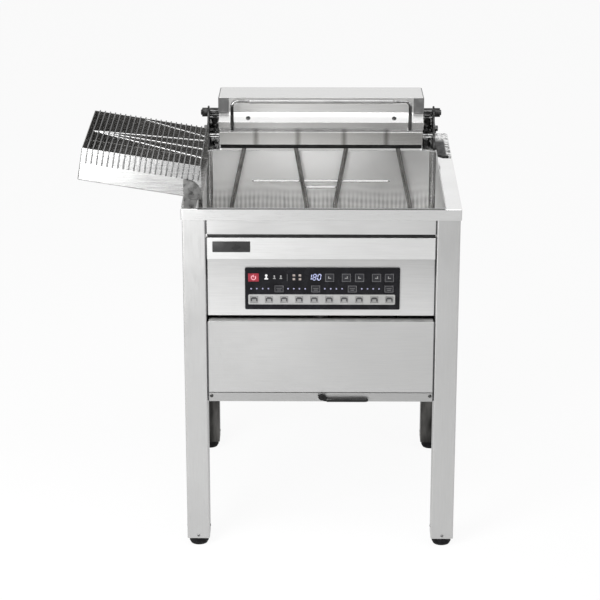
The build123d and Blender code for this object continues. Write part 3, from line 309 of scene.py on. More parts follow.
def rim_steel():
    """The rim deck: a polished top, painted lighter than the apron as lit from above, with painted shade
    along the tank's front edge, and a brushed apron.
    """
    material, tree, shader = new_material("steel_rim", grey(0.7), 1.0, 0.3)
    brush = streaks(tree)
    brushed = tint(brush, grey(0.64), grey(0.68))
    # Partly painted light: the polished top is painted lighter than the brushed apron, as the light it
    # catches from above.
    polished = tint(noise(tree, 7.0, 4.0), grey(0.76), grey(0.83))
    # Painted shade: a near-black strip along the tank's front edge, as the dark the grazing top mirrors
    # there.
    painted_shade = tint(noise(tree, 60.0, 4.0, (0.2, 1.0, 1.0)), grey(0.02, 0.0), grey(0.06, 0.001))
    at_tank = falls(off_middle(tree), 0.262, 0.268)
    front_edge = times(at_tank, falls(along_axis(tree, "Y"), -0.2905, -0.2885))
    deck = blend_colours(front_edge, polished, painted_shade)
    top = rises(along_axis(tree, "Z"), 0.7915, 0.7925)
    grain = spread(hairlines(tree), 0.26, 0.36)
    gloss = times(grain, spread(top, 1.0, 0.3, 0.0, 1.0))
    paint(shader, blend_colours(top, brushed, deck), gloss)
    raise_surface(shader, brush, 0.02, 0.1)
    return material


def bracket_steel():
    """The hinge brackets: blotched dark and light, and painted black at the front and around the pin's
    sleeve as shade.
    """
    material, tree, shader = new_material("bracket_steel", grey(0.4), 1.0, 0.14)
    depth = along_axis(tree, "Y")
    blotches = noise(tree, 110.0)
    blotched = tint(blotches, grey(0.03, 0.0), grey(0.8), 0.42, 0.56)
    # Painted shade: black at the front and around the sleeve, where the brackets sit in shade and mirror
    # dark surroundings.
    black = tint(noise(tree, 120.0, 4.0), grey(0.012, 0.0), grey(0.09, 0.0))
    raised = rises(along_axis(tree, "Z"), 0.812, 0.832)
    sleeve = times(raised, falls(depth, 0.2515, 0.2525))
    within_edge = falls(off_middle(tree), 0.286, 0.29)
    front = times(within_edge, falls(depth, 0.215, 0.2525))
    dark_shade = larger(sleeve, front)
    gloss = plus(spread(blotches, 0.16, 0.3), spread(dark_shade, 0.0, 0.3, 0.0, 1.0))
    paint(shader, blend_colours(dark_shade, blotched, black), gloss)
    return material


def handle_steel():
    """The lift handle: painted near black on its posts as dark reflection, and painted lighter along the top
    as sheen.
    """
    material, tree, shader = new_material("handle_shaded", grey(0.3), 1.0, 0.2)
    specks = noise(tree, 140.0, 5.0)
    # Painted reflection and sheen: the posts are painted near black, and the top painted lighter.
    black = tint(specks, grey(0.04, 0.0), grey(0.13, 0.002))
    bright = tint(specks, grey(0.14, 0.001), grey(0.46))
    top = rises(along_axis(tree, "Z"), 0.904, 0.914)
    paint(shader, blend_colours(top, black, bright), spread(specks, 0.14, 0.28))
    return material


def rack_steel():
    """The rack's wires: dark grey plating at the front, painted near black towards the back as the shade
    over the tray.
    """
    material, tree, shader = new_material("rack_wire", grey(0.5), 1.0, 0.24)
    specks = noise(tree, 300.0, 4.0)
    plated = tint(specks, grey(0.14, 0.001), grey(0.26, 0.002))
    # Painted shade: the wires are painted nearly black towards the back, where they lie over the dark tray.
    painted_shade = tint(specks, grey(0.01, 0.0), grey(0.035, 0.001))
    back = rises(along_axis(tree, "Y"), -0.21, -0.13)
    paint(shader, blend_colours(back, plated, painted_shade), spread(specks, 0.18, 0.32))
    return material


def base_steel():
    """The head's lower box: polished, with a painted dark reflection of each riser."""
    material, tree, shader = new_material("steel_base", (0.5, 0.49, 0.475), 1.0, 0.18)
    clean = tint(noise(tree, 6.0), (0.78, 0.776, 0.768), (0.86, 0.856, 0.848))
    # Painted reflection: a dark streak over each riser, where the risers mirror in the polished front.
    reflection_tone = tint(noise(tree, 90.0), (0.2, 0.195, 0.185), (0.3, 0.29, 0.275))
    across = off_middle(tree)
    marks = []
    for middle in RISER_REFLECTION_X:
        distance = join_values("ABSOLUTE", join_values("SUBTRACT", across, middle * MM))
        marks.append(spread(distance, 0.75, 0.0, 0.001, 0.009))
    riser_reflections = times(larger(*marks), falls(along_axis(tree, "Y"), 0.17, 0.18))
    gloss = spread(noise(tree, 500.0, 3.0, drawn_out("X", 0.03)), 0.14, 0.24)
    paint(shader, blend_colours(riser_reflections, clean, reflection_tone), gloss)
    return material


def fascia_steel():
    """The control fascia: a bright upper strip, and below its fold a face painted darker as shade under the
    strip, growing lighter towards the foot.
    """
    material, tree, shader = new_material("steel_fascia", grey(0.6), 1.0, 0.4)
    brush = streaks(tree)
    height = along_axis(tree, "Z")
    bright = tint(brush, grey(0.64), grey(0.69))
    # Painted shade: below the fold the face is painted darker under the strip, growing lighter towards the
    # foot; the strip is a lit copy.
    shaded = tint(brush, grey(0.46), grey(0.51))
    lit_tone = tint(brush, grey(0.62), grey(0.67))
    below = blend_colours(falls(height, 0.55, 0.68), shaded, lit_tone)
    strip = rises(height, 0.6792, 0.6798)
    paint(shader, blend_colours(strip, below, bright), spread(hairlines(tree), 0.34, 0.48))
    raise_surface(shader, brush, 0.06, 0.15)
    return material


def shaded_leg_steel():
    """The rear legs: brushed like the front ones, with painted shade on the sides that face in under the
    tank.
    """
    material, tree, shader = new_material("steel_leg_rear", grey(0.56), 1.0, 0.4)
    brush = noise(tree, 170.0, 4.0, drawn_out("Z", 0.03))
    clean = tint(brush, grey(0.54), grey(0.58))
    # Painted shade: the inner sides below the tank are painted nearly black, in vertical streaks.
    vertical_streaks = noise(tree, 40.0, 5.0, drawn_out("Z", 0.25))
    under_shade = tint(vertical_streaks, (0.008, 0.0078, 0.0075), (0.13, 0.127, 0.122))
    below = falls(along_axis(tree, "Z"), 0.42, 0.5)
    shaded_sides = times(faces_point(tree, (0.0, 0.0, 0.2)), below)
    paint(shader, blend_colours(shaded_sides, clean, under_shade), spread(brush, 0.34, 0.46))
    raise_surface(shader, brush, 0.1, 0.15)
    return material


def tray_steel():
    """The drain tray: bright outside, painted darker as shade in a band behind the rack's hooks along the
    front's upper edge, and painted darker inside as shade.
    """
    material, tree, shader = new_material("tray_steel", (0.6, 0.6, 0.59), 1.0, 0.3)
    brush = noise(tree, 500.0, 3.0, drawn_out("X", 0.03))
    bright = tint(brush, grey(0.42, 0.002), grey(0.47))
    tone_pattern = noise(tree, 300.0, 3.0, drawn_out("Z", 0.1))
    # Painted shade: a darker band behind the rack's hooks, standing in for their shadows.
    painted_dark_tone = tint(tone_pattern, grey(0.31, 0.001), grey(0.43, 0.002))
    height = add_node(tree, "VectorMath", {0: own_place(tree), 1: TRAY_UP}, operation="DOT_PRODUCT")
    floor = TRAY_UP.dot(at(*TRAY_ORIGIN))
    hook_band = rises(height.outputs["Value"], floor + 0.037, floor + 0.041)
    front = falls(along_axis(tree, "Y"), -0.2298, -0.2292)
    clean = blend_colours(times(hook_band, front), bright, painted_dark_tone)
    # Painted shade: the inner faces are painted darker, as the dark they mirror inside.
    inside_shade = tint(noise(tree, 26.0, 5.0), (0.26, 0.257, 0.252), (0.4, 0.395, 0.387))
    inside = faces_point(tree, at(-391.0, -76.0, 856.0))
    paint(shader, blend_colours(inside, clean, inside_shade), spread(brush, 0.23, 0.31))
    raise_surface(shader, brush, 0.02, 0.1)
    return material


def spotted_metal(name, dark, light, roughness, scale=60.0, bump=0.05):
    """A bare metal with soft clouds in its colour and gloss."""
    material, tree, shader = new_material(name, light, 1.0, roughness)
    clouds = noise(tree, scale, 5.0)
    paint(shader, tint(clouds, dark, light), spread(clouds, roughness - 0.07, roughness + 0.09))
    raise_surface(shader, noise(tree, scale * 14.0), bump, 0.1)
    return material


def moulded_plastic(name, dark, light, roughness, grain=1500.0, bump=0.18, **sockets):
    """Moulded plastic or rubber: a fine pebbled skin and scuffs that lighten it."""
    material, tree, shader = new_material(name, dark, 0.0, roughness, **sockets)
    tone_pattern = noise(tree, 70.0, 6.0)
    colour = tint(tone_pattern, dark, light, 0.45, 0.75)
    paint(shader, colour, spread(tone_pattern, roughness - 0.08, roughness + 0.12))
    raise_surface(shader, noise(tree, grain, 2.0), bump, 0.15)
    return material


def panel_film(name, dark, light, roughness, specular):
    """The smooth film of the key panel, with faint finger marks in its gloss."""
    material, tree, shader = new_material(name, dark, 0.0, roughness, Specular_IOR_Level=specular)
    prints = noise(tree, 45.0, 5.0)
    paint(shader, tint(prints, dark, light), spread(prints, roughness - 0.06, roughness + 0.12))
    raise_surface(shader, noise(tree, 2200.0, 2.0), 0.03, 0.05)
    return material


def lit_mark(name, dark, light, strength):
    """A lamp or digit behind the film, with a slight unevenness in its glow."""
    material, tree, shader = new_material(name, dark, 0.0, 0.4, Emission_Strength=strength)
    glow = tint(noise(tree, 400.0, 2.0), dark, light, 0.25, 0.6)
    tree.links.new(glow, shader.inputs["Base Color"])
    tree.links.new(glow, shader.inputs["Emission Color"])
    return material


def circuit_board():
    """A lacquered green board with copper runs that show through."""
    material, tree, shader = new_material("board_lacquer", (0.02, 0.13, 0.05), 0.0, 0.35)
    vertical_streaks = noise(tree, 240.0, 1.0, drawn_out("Z", 0.12))
    lacquer = tint(vertical_streaks, (0.015, 0.1, 0.04), (0.06, 0.22, 0.08), 0.48, 0.52)
    tree.links.new(lacquer, shader.inputs["Base Color"])
    raise_surface(shader, vertical_streaks, 0.2, 0.1)
    return material


STAINLESS = grey(0.5)
steel_leg = brushed_steel("steel_leg", STAINLESS, "Z", 0.03)
steel_leg_rear = shaded_leg_steel()
steel_front = brushed_steel("steel_front", STAINLESS, "X", 0.04)
steel_top = brushed_steel("steel_top", grey(0.56), "X", 0.03)
steel_fascia = fascia_steel()
steel_rail = brushed_steel("steel_rail", grey(0.4), "X", 0.04)
steel_rim = rim_steel()
steel_side = brushed_steel("steel_side", grey(0.52), "Y", 0.05)
steel_head = head_steel()
steel_base = base_steel()
hanger_steel = spotted_metal("hanger_steel", grey(0.12, 0.002), grey(0.24, 0.004), 0.28)
rack_wire = rack_steel()
stay_wire = spotted_metal("stay_wire", grey(0.66, 0.002), grey(0.86), 0.24, 300.0)
handle_shaded = handle_steel()
grip_steel = spotted_metal("grip_steel", grey(0.32, 0.002), grey(0.4, 0.002), 0.42, 30.0)
handle_dark = spotted_metal("handle_dark", grey(0.05, 0.0), grey(0.14, 0.002), 0.2, 140.0)
steel_tray = tray_steel()
tank_satin = tank_steel()
chrome = spotted_metal("wire_chrome", grey(0.66, 0.0), grey(0.8, 0.0), 0.18)
screw_steel = spotted_metal("screw_steel", grey(0.18, 0.0), grey(0.34, 0.0), 0.3, 220.0)
steel_bracket = bracket_steel()
hinge_steel = spotted_metal("hinge_steel", grey(0.04, 0.0), grey(0.5), 0.14, 130.0)
hinge_dark = spotted_metal("hinge_dark", grey(0.03, 0.0), grey(0.12, 0.0), 0.22, 120.0)
cap_grey = moulded_plastic("cap_grey", grey(0.11, 0.0), grey(0.18, 0.002), 0.45, Specular_IOR_Level=0.3)
weld_steel = spotted_metal("weld_steel", (0.14, 0.138, 0.134), (0.34, 0.335, 0.325), 0.25, 260.0, 0.2)
# Painted shade: the corner coves are painted far darker than the tank's walls, as the dark reflection in its
# rounded rear corners.
cove_steel = spotted_metal("cove_steel", grey(0.3), grey(0.46), 0.2, 30.0, 0.02)
rib_steel = spotted_metal("rib_steel", grey(0.16, 0.001), grey(0.24, 0.002), 0.3, 90.0)
sheath = spotted_metal("element_sheath", (0.18, 0.177, 0.173), (0.32, 0.315, 0.308), 0.17, 40.0)
brass = spotted_metal("valve_brass", (0.42, 0.33, 0.17), (0.62, 0.5, 0.28), 0.3, 80.0, 0.2)
plastic_black = moulded_plastic(
    "plastic_black", (0.004, 0.004, 0.0045), (0.018, 0.018, 0.02), 0.5, Specular_IOR_Level=0.12
)
# Black rubber for the lever plate and hinge stops, also used for the black strips painted as shade in the
# gaps.
rubber_and_shade_black = moulded_plastic(
    "rubber_and_shade_black", grey(0.006, 0.0), grey(0.016, 0.0), 0.35, 900.0, 0.1, Specular_IOR_Level=0.22
)
badge_black = panel_film("badge_black", grey(0.018, 0.0), grey(0.03, 0.0), 0.3, 0.3)
panel_black = panel_film("panel_black", (0.006, 0.006, 0.007), (0.011, 0.011, 0.013), 0.22, 0.1)
key_black = panel_film("key_black", (0.012, 0.012, 0.014), (0.022, 0.022, 0.025), 0.35, 0.2)
key_red = panel_film("key_red", (0.17, 0.014, 0.024), (0.25, 0.024, 0.036), 0.35, 0.25)
key_grey = panel_film("key_grey", grey(0.18, 0.002), grey(0.24), 0.4, 0.4)
strip_grey = panel_film("strip_grey", grey(0.26), grey(0.32, 0.004), 0.4, 0.4)
print_dark = panel_film("print_dark", (0.025, 0.025, 0.026), (0.045, 0.045, 0.047), 0.4, 0.3)
print_faint = panel_film("print_faint", (0.1, 0.1, 0.105), (0.16, 0.16, 0.165), 0.4, 0.3)
print_grey = panel_film("print_grey", grey(0.2, 0.0), grey(0.3, 0.0), 0.4, 0.3)
print_white = panel_film("print_white", grey(0.5, 0.0), grey(0.65, 0.0), 0.4, 0.3)
vinyl_black = moulded_plastic(
    "vinyl_black", grey(0.005, 0.0), grey(0.014, 0.0), 0.06, 900.0, 0.02, Specular_IOR_Level=0.3
)
lit_pink = lit_mark("lit_pink", (0.45, 0.16, 0.2), (0.62, 0.32, 0.36), 0.15)
lit_blue = lit_mark("lit_blue", (0.2, 0.22, 0.44), (0.5, 0.54, 0.78), 0.3)
lit_dim = lit_mark("lit_dim", (0.1, 0.1, 0.17), (0.3, 0.3, 0.44), 0.2)
lit_warm = lit_mark("lit_warm", (0.16, 0.13, 0.12), (0.3, 0.26, 0.24), 0.12)
# Black plastic for the cable gland, also used for the dark strips painted into the leg grooves as shade.
nylon_and_shade = moulded_plastic("nylon_and_shade", (0.03, 0.03, 0.032), grey(0.07, 0.0), 0.5)
case_grey = moulded_plastic("case_grey", (0.22, 0.22, 0.21), (0.3, 0.3, 0.29), 0.5)
# A pale grey for the strip painted as light on the front panel's top return.
pale_strip = moulded_plastic("pale_strip_grey", grey(0.2), grey(0.28, 0.005), 0.6)
board_green = circuit_board()

node_materials = {
    steel_leg: ["leg_front_left", "leg_front_right"],
    steel_leg_rear: ["leg_rear_left", "leg_rear_right"],
    steel_front: ["front_panel"],
    steel_top: ["top_rail"],
    steel_fascia: ["control_fascia"],
    steel_rail: ["bottom_rail"],
    steel_rim: ["rim_deck"],
    steel_side: ["side_panel_left", "side_panel_right", "rear_panel", "bottom_pan", "drain_pipe"],
    steel_head: ["head_cover"],
    grip_steel: ["handle_grip"],
    steel_base: ["head_base"],
    steel_tray: ["drain_tray"],
    hanger_steel: ["tray_hangers"],
    tank_satin: ["oil_tank"],
    steel_bracket: ["hinge_bracket_left", "hinge_bracket_right"],
    hinge_steel: ["valve_stem"],
    hinge_dark: ["hinge_pins"],
    sheath: ["temperature_probes"],
    brass: ["valve_body"],
    plastic_black: ["levelling_feet"],
    cap_grey: ["head_end_caps"],
    panel_black: ["display_panel"],
    strip_grey: ["menu_strip"],
    key_red: ["power_key"],
    nylon_and_shade: ["cable_gland"],
    case_grey: ["contactor"],
    board_green: ["control_board"],
}
FUNCTION_KEYS = [f"function_key_{number}" for number in range(1, 6)]
TIMER_KEYS = [f"timer_key_{number}" for number in range(1, 5)]
MENU_KEYS = [f"menu_key_{number}" for number in range(1, 11)]
node_materials[key_black] = FUNCTION_KEYS + TIMER_KEYS
node_materials[key_grey] = MENU_KEYS


def soften(node, width):
    """Rounds a solid's hard edges, so that they catch the light."""
    piece = nodes[node]
    weld = piece.modifiers.new("weld", "WELD")
    weld.merge_threshold = 0.01 * MM
    flat = piece.modifiers.new("flat", "DECIMATE")
    flat.decimate_type = "DISSOLVE"
    flat.angle_limit = radians(0.5)
    bevel = piece.modifiers.new("bevel", "BEVEL")
    bevel.width = width * MM
    bevel.segments = 2
    bevel.limit_method = "ANGLE"
    bevel.angle_limit = radians(35.0)
    normals = piece.modifiers.new("normals", "WEIGHTED_NORMAL")
    normals.weight = 100


FINE_EDGE = 0.45
EDGE_WIDTHS = {
    "levelling_feet": 1.5, "valve_body": 1.2, "contactor": 1.5, "cable_gland": 0.8, "handle_grip": 1.0,
}
for material, names in node_materials.items():
    for name in names:
        nodes[name].material_slots[0].material = material
        soften(name, EDGE_WIDTHS.get(name, FINE_EDGE))


# Making pieces

def add_piece(name, data, material, body):
    """Puts a mesh or curve in the scene, on a body."""
    piece = bpy.data.objects.new(name, data)
    data.materials.append(material)
    scene.collection.objects.link(piece)
    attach(piece, body)
    return piece


def finish_mesh(name, shape, material, body, smooth_angle=40.0):
    """Turns a worked mesh into a piece."""
    bmesh.ops.recalc_face_normals(shape, faces=shape.faces)
    limit = radians(smooth_angle)
    for face in shape.faces:
        face.smooth = True
    for edge in shape.edges:
        edge.smooth = len(edge.link_faces) == 2 and edge.calc_face_angle(0.0) < limit
    mesh = bpy.data.meshes.new(name)
    shape.to_mesh(mesh)
    shape.free()
    return add_piece(name, mesh, material, body)


def rounded(points, radii, steps=8):
    """A path whose corners turn on arcs."""
    points = [Vector(point) for point in points]
    path = [points[0]]
    for before, corner, after, radius in zip(points, points[1:], points[2:], radii):
        back = (before - corner).normalized()
        ahead = (after - corner).normalized()
        half = back.angle(ahead) / 2
        middle = corner + (back + ahead).normalized() * (radius / sin(half))
        start = (corner + back * (radius / tan(half)) - middle).normalized()
        end = (corner + ahead * (radius / tan(half)) - middle).normalized()
        path += [middle + start.slerp(end, step / steps).normalized() * radius for step in range(steps + 1)]
    return path + [points[-1]]


def wires(name, paths, radius, material, body, roundness=3, closed=False):
    """Round wires or tubes of one thickness, one for each path."""
    curve = bpy.data.curves.new(name, "CURVE")
    curve.dimensions = "3D"
    curve.bevel_depth = radius * MM
    curve.bevel_resolution = roundness
    curve.use_fill_caps = True
    for path in paths:
        spline = curve.splines.new("POLY")
        spline.points.add(len(path) - 1)
        spline.use_cyclic_u = closed
        for point, place in zip(spline.points, path):
            point.co = (*at(*place), 1.0)
    return add_piece(name, curve, material, body)


def turned(shape, profile, place, axis, segments=28, cross=0.0):
    """Adds a turned form to a mesh: (radius, height) pairs from the middle outwards, along an axis.

    With a cross, the rings inside that radius are pressed in along two crossing grooves.
    """
    turn = Vector(axis).to_track_quat("Z", "Y").to_matrix()
    rings = []
    for radius, height in profile:
        if radius == 0.0:
            rings.append([shape.verts.new(at(*place) + turn @ Vector((0.0, 0.0, height)) * MM)])
            continue
        ring = []
        for step in range(segments):
            angle = 2 * pi * step / segments
            groove = radius < cross and step % (segments // 4) in (0, 1, segments // 4 - 1)
            level = height - cross * 0.45 if groove else height
            offset = Vector((radius * cos(angle), radius * sin(angle), level))
            ring.append(shape.verts.new(at(*place) + turn @ offset * MM))
        rings.append(ring)
    for inner, outer in zip(rings, rings[1:]):
        for step in range(segments):
            following = (step + 1) % segments
            near = inner[step % len(inner)]
            far = inner[following % len(inner)]
            shape.faces.new(dict.fromkeys([near, outer[step], outer[following], far]))


def screw(shape, place, axis, radius, height=1.6):
    """Adds a pan-head screw with a cross recess."""
    recess = 0.9 * radius
    profile = [
        (0.0, height - recess * 0.28),
        (radius * 0.14, height - recess * 0.2),
        (radius * 0.3, height),
        (radius * 0.52, height * 0.98),
        (radius * 0.62, height * 0.95),
        (radius * 0.85, height * 0.75),
        (radius * 0.97, height * 0.4),
        (radius, 0.0),
    ]
    turned(shape, profile, place, axis, 32, radius * 0.6)


def hex_bolt(shape, place, axis, radius, height):
    """Adds a hexagon bolt head on a washer."""
    washer = [(0.0, 1.2), (radius * 1.5, 1.2), (radius * 1.6, 0.9), (radius * 1.6, 0.0)]
    turned(shape, washer, place, axis, 30)
    head = [(0.0, height), (radius * 0.75, height), (radius, height - 0.6), (radius, 1.2)]
    turned(shape, head, place, axis, 6)


def slab(shape, outline, y0, y1, bevel=0.0):
    """Adds a plate seen from the front: (x, z) corners, between two depths, its edges rounded by a bevel."""
    corners = [shape.verts.new(at(x, y1, z)) for x, z in outline]
    face = shape.faces.new(corners)
    grown = bmesh.ops.extrude_face_region(shape, geom=[face])["geom"]
    moved = [part for part in grown if isinstance(part, bmesh.types.BMVert)]
    bmesh.ops.translate(shape, verts=moved, vec=at(0.0, y0 - y1, 0.0))
    if bevel:
        edges = list({edge for vert in corners + moved for edge in vert.link_edges})
        bmesh.ops.bevel(shape, geom=edges, offset=bevel * MM, segments=2, affect="EDGES", profile=0.5)


def bar(shape, low, high, bevel=0.0):
    """Adds a bar between two corners, its edges rounded by a bevel."""
    outline = [(low[0], low[2]), (high[0], low[2]), (high[0], high[2]), (low[0], high[2])]
    slab(shape, outline, low[1], high[1], bevel)


def bar_piece(name, low, high, bevel, material, body):
    """A piece made of one bar."""
    shape = bmesh.new()
    bar(shape, low, high, bevel)
    finish_mesh(name, shape, material, body)


def round_corners(x0, x1, z0, z1, radius):
    """A rounded rectangle as (x, z) points."""
    steps = 5
    corners = [
        (x1 - radius, z1 - radius), (x0 + radius, z1 - radius),
        (x0 + radius, z0 + radius), (x1 - radius, z0 + radius),
    ]
    points = []
    for index, (x, z) in enumerate(corners):
        for step in range(steps + 1):
            angle = pi / 2 * (index + step / steps)
            points.append((x + radius * cos(angle), z + radius * sin(angle)))
    return points


def skin(shape, rings):
    """Adds the faces between neighbouring rings of corners, and closes both ends."""
    for first, second in zip(rings, rings[1:]):
        for step in range(len(first)):
            following = (step + 1) % len(first)
            shape.faces.new([first[step], second[step], second[following], first[following]])
    shape.faces.new(rings[0])
    shape.faces.new(rings[-1])


# Heater head

RISER_TOPS = (64, 170)
RISER_Y = 143
RISER_TOP = 835
RISER_FOOT = 664
LANES = (33, 91, 149, 207)
LANE_FRONT = -200
LANE_BACK = 90
LANE_LEVEL = 630


def element_path(side):
    """The line of one element: two risers, and four lanes to and fro over the tank's floor."""
    one, two, three, four = LANES
    points = [
        (RISER_TOPS[0], RISER_Y, RISER_TOP), (one, RISER_Y, RISER_FOOT), (one, RISER_Y, LANE_LEVEL),
        (one, LANE_FRONT, LANE_LEVEL), (two, LANE_FRONT, LANE_LEVEL), (two, LANE_BACK, LANE_LEVEL),
        (three, LANE_BACK, LANE_LEVEL), (three, LANE_FRONT, LANE_LEVEL), (four, LANE_FRONT, LANE_LEVEL),
        (four, RISER_Y, LANE_LEVEL), (four, RISER_Y, RISER_FOOT), (RISER_TOPS[1], RISER_Y, RISER_TOP),
    ]
    radii = [40, 20] + [24] * 6 + [20, 40]
    return rounded([(side * x, y, z) for x, y, z in points], radii, 10)


for side, node in ((1, "heating_element_right"), (-1, "heating_element_left")):
    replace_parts(wires(node + "_tube", [element_path(side)], 5.2, sheath, "heater_head", 5), node)

HANDLE_X = 204.0
HANDLE_Y = 126
HANDLE_FOOT = 846
HANDLE_TOP = 917
handle_corners = [
    (-HANDLE_X, HANDLE_Y, HANDLE_FOOT), (-HANDLE_X, HANDLE_Y, HANDLE_TOP),
    (HANDLE_X, HANDLE_Y, HANDLE_TOP), (HANDLE_X, HANDLE_Y, HANDLE_FOOT),
]
handle_path = rounded(handle_corners, [12, 12])
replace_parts(wires("lift_handle_rod", [handle_path], 4.0, handle_shaded, "heater_head", 5), "lift_handle")

head_hardware = bmesh.new()
ledge_screws = bmesh.new()
for side in (-1, 1):
    collar = [(0.0, 3.4), (5.2, 3.4), (5.8, 2.8), (5.8, 0.0)]
    turned(head_hardware, collar, (side * HANDLE_X, HANDLE_Y, HANDLE_FOOT), (0, 0, 1))
    screw(ledge_screws, (side * 168, 148, 871.5), (0, -16, 27), 5.4, 2.6)
    for x in (80, 200):
        screw(head_hardware, (side * x, 300, 889), BACKWARD, 3.6)
finish_mesh("head_hardware", head_hardware, screw_steel, "heater_head")
finish_mesh("ledge_screws", ledge_screws, handle_dark, "heater_head")

SCREEN_LEVEL = 642.9
SCREEN_WIRE = 1.2
SCREEN_PITCH = 10.0
CROSS_PITCH = 40.0
SCREEN_X = (-251.5, 251.5)
SCREEN_Y = (-198.5, 124.5)


def weave(along, across, pitch, step, phase, lengthwise):
    """One set of woven wires, each going over and under the wires that cross it."""
    paths = []
    rows = round((across[1] - across[0]) / pitch)
    steps = round((along[1] - along[0]) / step)
    for row in range(1, rows):
        side = across[0] + (across[1] - across[0]) * row / rows
        path = []
        for number in range(steps + 1):
            place = along[0] + (along[1] - along[0]) * number / steps
            level = SCREEN_LEVEL + SCREEN_WIRE * 0.6 * (1 if (row + number + phase) % 2 else -1)
            path.append((place, side, level) if lengthwise else (side, place, level))
        paths.append(path)
    return paths


screen_wires = weave(SCREEN_X, SCREEN_Y, CROSS_PITCH, SCREEN_PITCH, 0, True)
screen_wires += weave(SCREEN_Y, SCREEN_X, SCREEN_PITCH, CROSS_PITCH, 1, False)
screen_mesh = wires("heater_screen_mesh", screen_wires, SCREEN_WIRE, chrome, "heater_head", 1)
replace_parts(screen_mesh, "heater_screen")
frame_path = [(x, y, SCREEN_LEVEL) for x, y in round_corners(*SCREEN_X, *SCREEN_Y, 10.0)]
wires("heater_screen_frame", [frame_path], 1.5, chrome, "heater_head", closed=True)
bearers = [[(-245, y, 638.2), (245, y, 638.2)] for y in (-130, 56)]
wires("heater_screen_bearers", bearers, 2.9, chrome, "heater_head")


# Drain tray and its rack

def on_tray(x, y, z):
    """A point given along, across and above the sloping tray, in the frame of the solids."""
    origin_x, origin_y, origin_z = TRAY_ORIGIN
    along = x * cos(TRAY_TILT) + z * sin(TRAY_TILT)
    return (origin_x + along, origin_y + y, origin_z - x * sin(TRAY_TILT) + z * cos(TRAY_TILT))


RACK_WIRES = 22
RACK_PITCH = 11.6
RACK_END = -14.0
RACK_BACK = 307.5
RACK_FRONT = -1.8
RACK_LEVEL = 73.6
RACK_FOOT = 39.0
STAY_LEVEL = 70.4
STAY_END = -12.5
rack_paths = []
for number in range(RACK_WIRES):
    x = RACK_END - RACK_PITCH * number
    corners = [(x, RACK_BACK, RACK_LEVEL), (x, RACK_FRONT, RACK_LEVEL), (x, RACK_FRONT, RACK_FOOT)]
    corners = [on_tray(*corner) for corner in corners]
    rack_paths.append(rounded(corners, [4.0], 6))
rack = wires("tray_rack_wires", rack_paths, 1.45, rack_wire, "rack")
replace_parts(rack, "tray_rack")
hems = [
    [on_tray(-268.6, 0.2, 0.8), on_tray(-4.0, 0.2, 0.8)],
    [on_tray(-269.0, 0.2, 1.0), on_tray(-269.0, 0.2, 71.0)],
]
wires("tray_hems", hems, 0.9, hanger_steel, "tray", 2)
stays = [[on_tray(-259.1, 146, STAY_LEVEL), on_tray(STAY_END, y, STAY_LEVEL)] for y in (69, 138, 207)]
stays.append([on_tray(-152.0, 300, STAY_LEVEL), on_tray(STAY_END, 240, STAY_LEVEL)])
wires("tray_rack_stays", stays, 1.6, stay_wire, "rack")

# Drain lever

LEVER_FRONT = -304.5
LEVER_BACK = -301.6
lever = bmesh.new()
outline = [
    (-6.2, 368.5), (10.0, 368.5), (12.5, 361.0), (99.0, 359.5),
    (99.0, 353.5), (9.0, 353.5), (4.0, 356.0), (-6.2, 366.0),
]
slab(lever, outline, LEVER_FRONT, LEVER_BACK, 0.6)
turned(lever, [(0.0, 1.6), (3.2, 1.6), (4.6, 1.1), (5.0, 0.0)], (2.0, LEVER_FRONT, 361.0), FORWARD)
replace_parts(finish_mesh("valve_lever_plate", lever, rubber_and_shade_black, "drain_lever"), "valve_lever")

SLEEVE_SIDES = 20
SLEEVE_Y = -303.0
SLEEVE_Z = 356.5


def sleeve_shape():
    """The vinyl sleeve: an oval tube with a closed, rounded end."""
    shape = bmesh.new()
    stations = [(13.0, 0.9), (14.0, 1.0), (95.0, 1.0)]
    stations += [(99.0, 0.95), (102.0, 0.8), (103.5, 0.52), (104.0, 0.15)]
    rings = []
    for x, scale in stations:
        ring = []
        for step in range(SLEEVE_SIDES):
            angle = 2 * pi * step / SLEEVE_SIDES
            y = SLEEVE_Y + 4.0 * scale * cos(angle)
            ring.append(shape.verts.new(at(x, y, SLEEVE_Z + 4.5 * scale * sin(angle))))
        rings.append(ring)
    skin(shape, rings)
    return shape


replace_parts(finish_mesh("lever_sleeve", sleeve_shape(), vinyl_black, "drain_lever"), "lever_grip")

# Stand: name plate, dark strips painted into gaps as shade, a pale strip painted as light, hinge fittings,
# screws and the tank's details

badge = bmesh.new()
slab(badge, round_corners(-233, -152, 696, 720, 1.5), FACE_Y - 1.2, FACE_Y, 0.25)
finish_mesh("name_plate", badge, badge_black, "stand")

# Painted shade: a black strip in the gap under the top rail, standing in for its shadow.
bar_piece("front_gap_shade", (-244, -295.9, 726), (244, -294.6, 738), 0.2, rubber_and_shade_black, "stand")

# Painted shade: dark strips along the gaps between the legs and the panels, standing in for the shadow in
# the grooves.
GAP_SHADE_Y = -296.9
SET_BACK_Y = -289.4
GAP_SHADE_SPANS = ((352, 537, GAP_SHADE_Y), (549, 680, SET_BACK_Y), (680, 728, GAP_SHADE_Y), (736, 790, GAP_SHADE_Y))
gap_shade = bmesh.new()
for side in (-1, 1):
    inner, outer = sorted((side * 244.6, side * 247.4))
    for low, high, front in GAP_SHADE_SPANS:
        bar(gap_shade, (inner, front, low), (outer, front + 0.7, high), 0.2)
finish_mesh("gap_shade_strips", gap_shade, nylon_and_shade, "stand")

# Painted light: a pale strip on the front panel's top return, standing in for the light it gets under the
# fascia.
bar_piece("front_return_light", (-243, -296.5, 537.6), (243, -279, 539.2), 0.4, pale_strip, "stand")
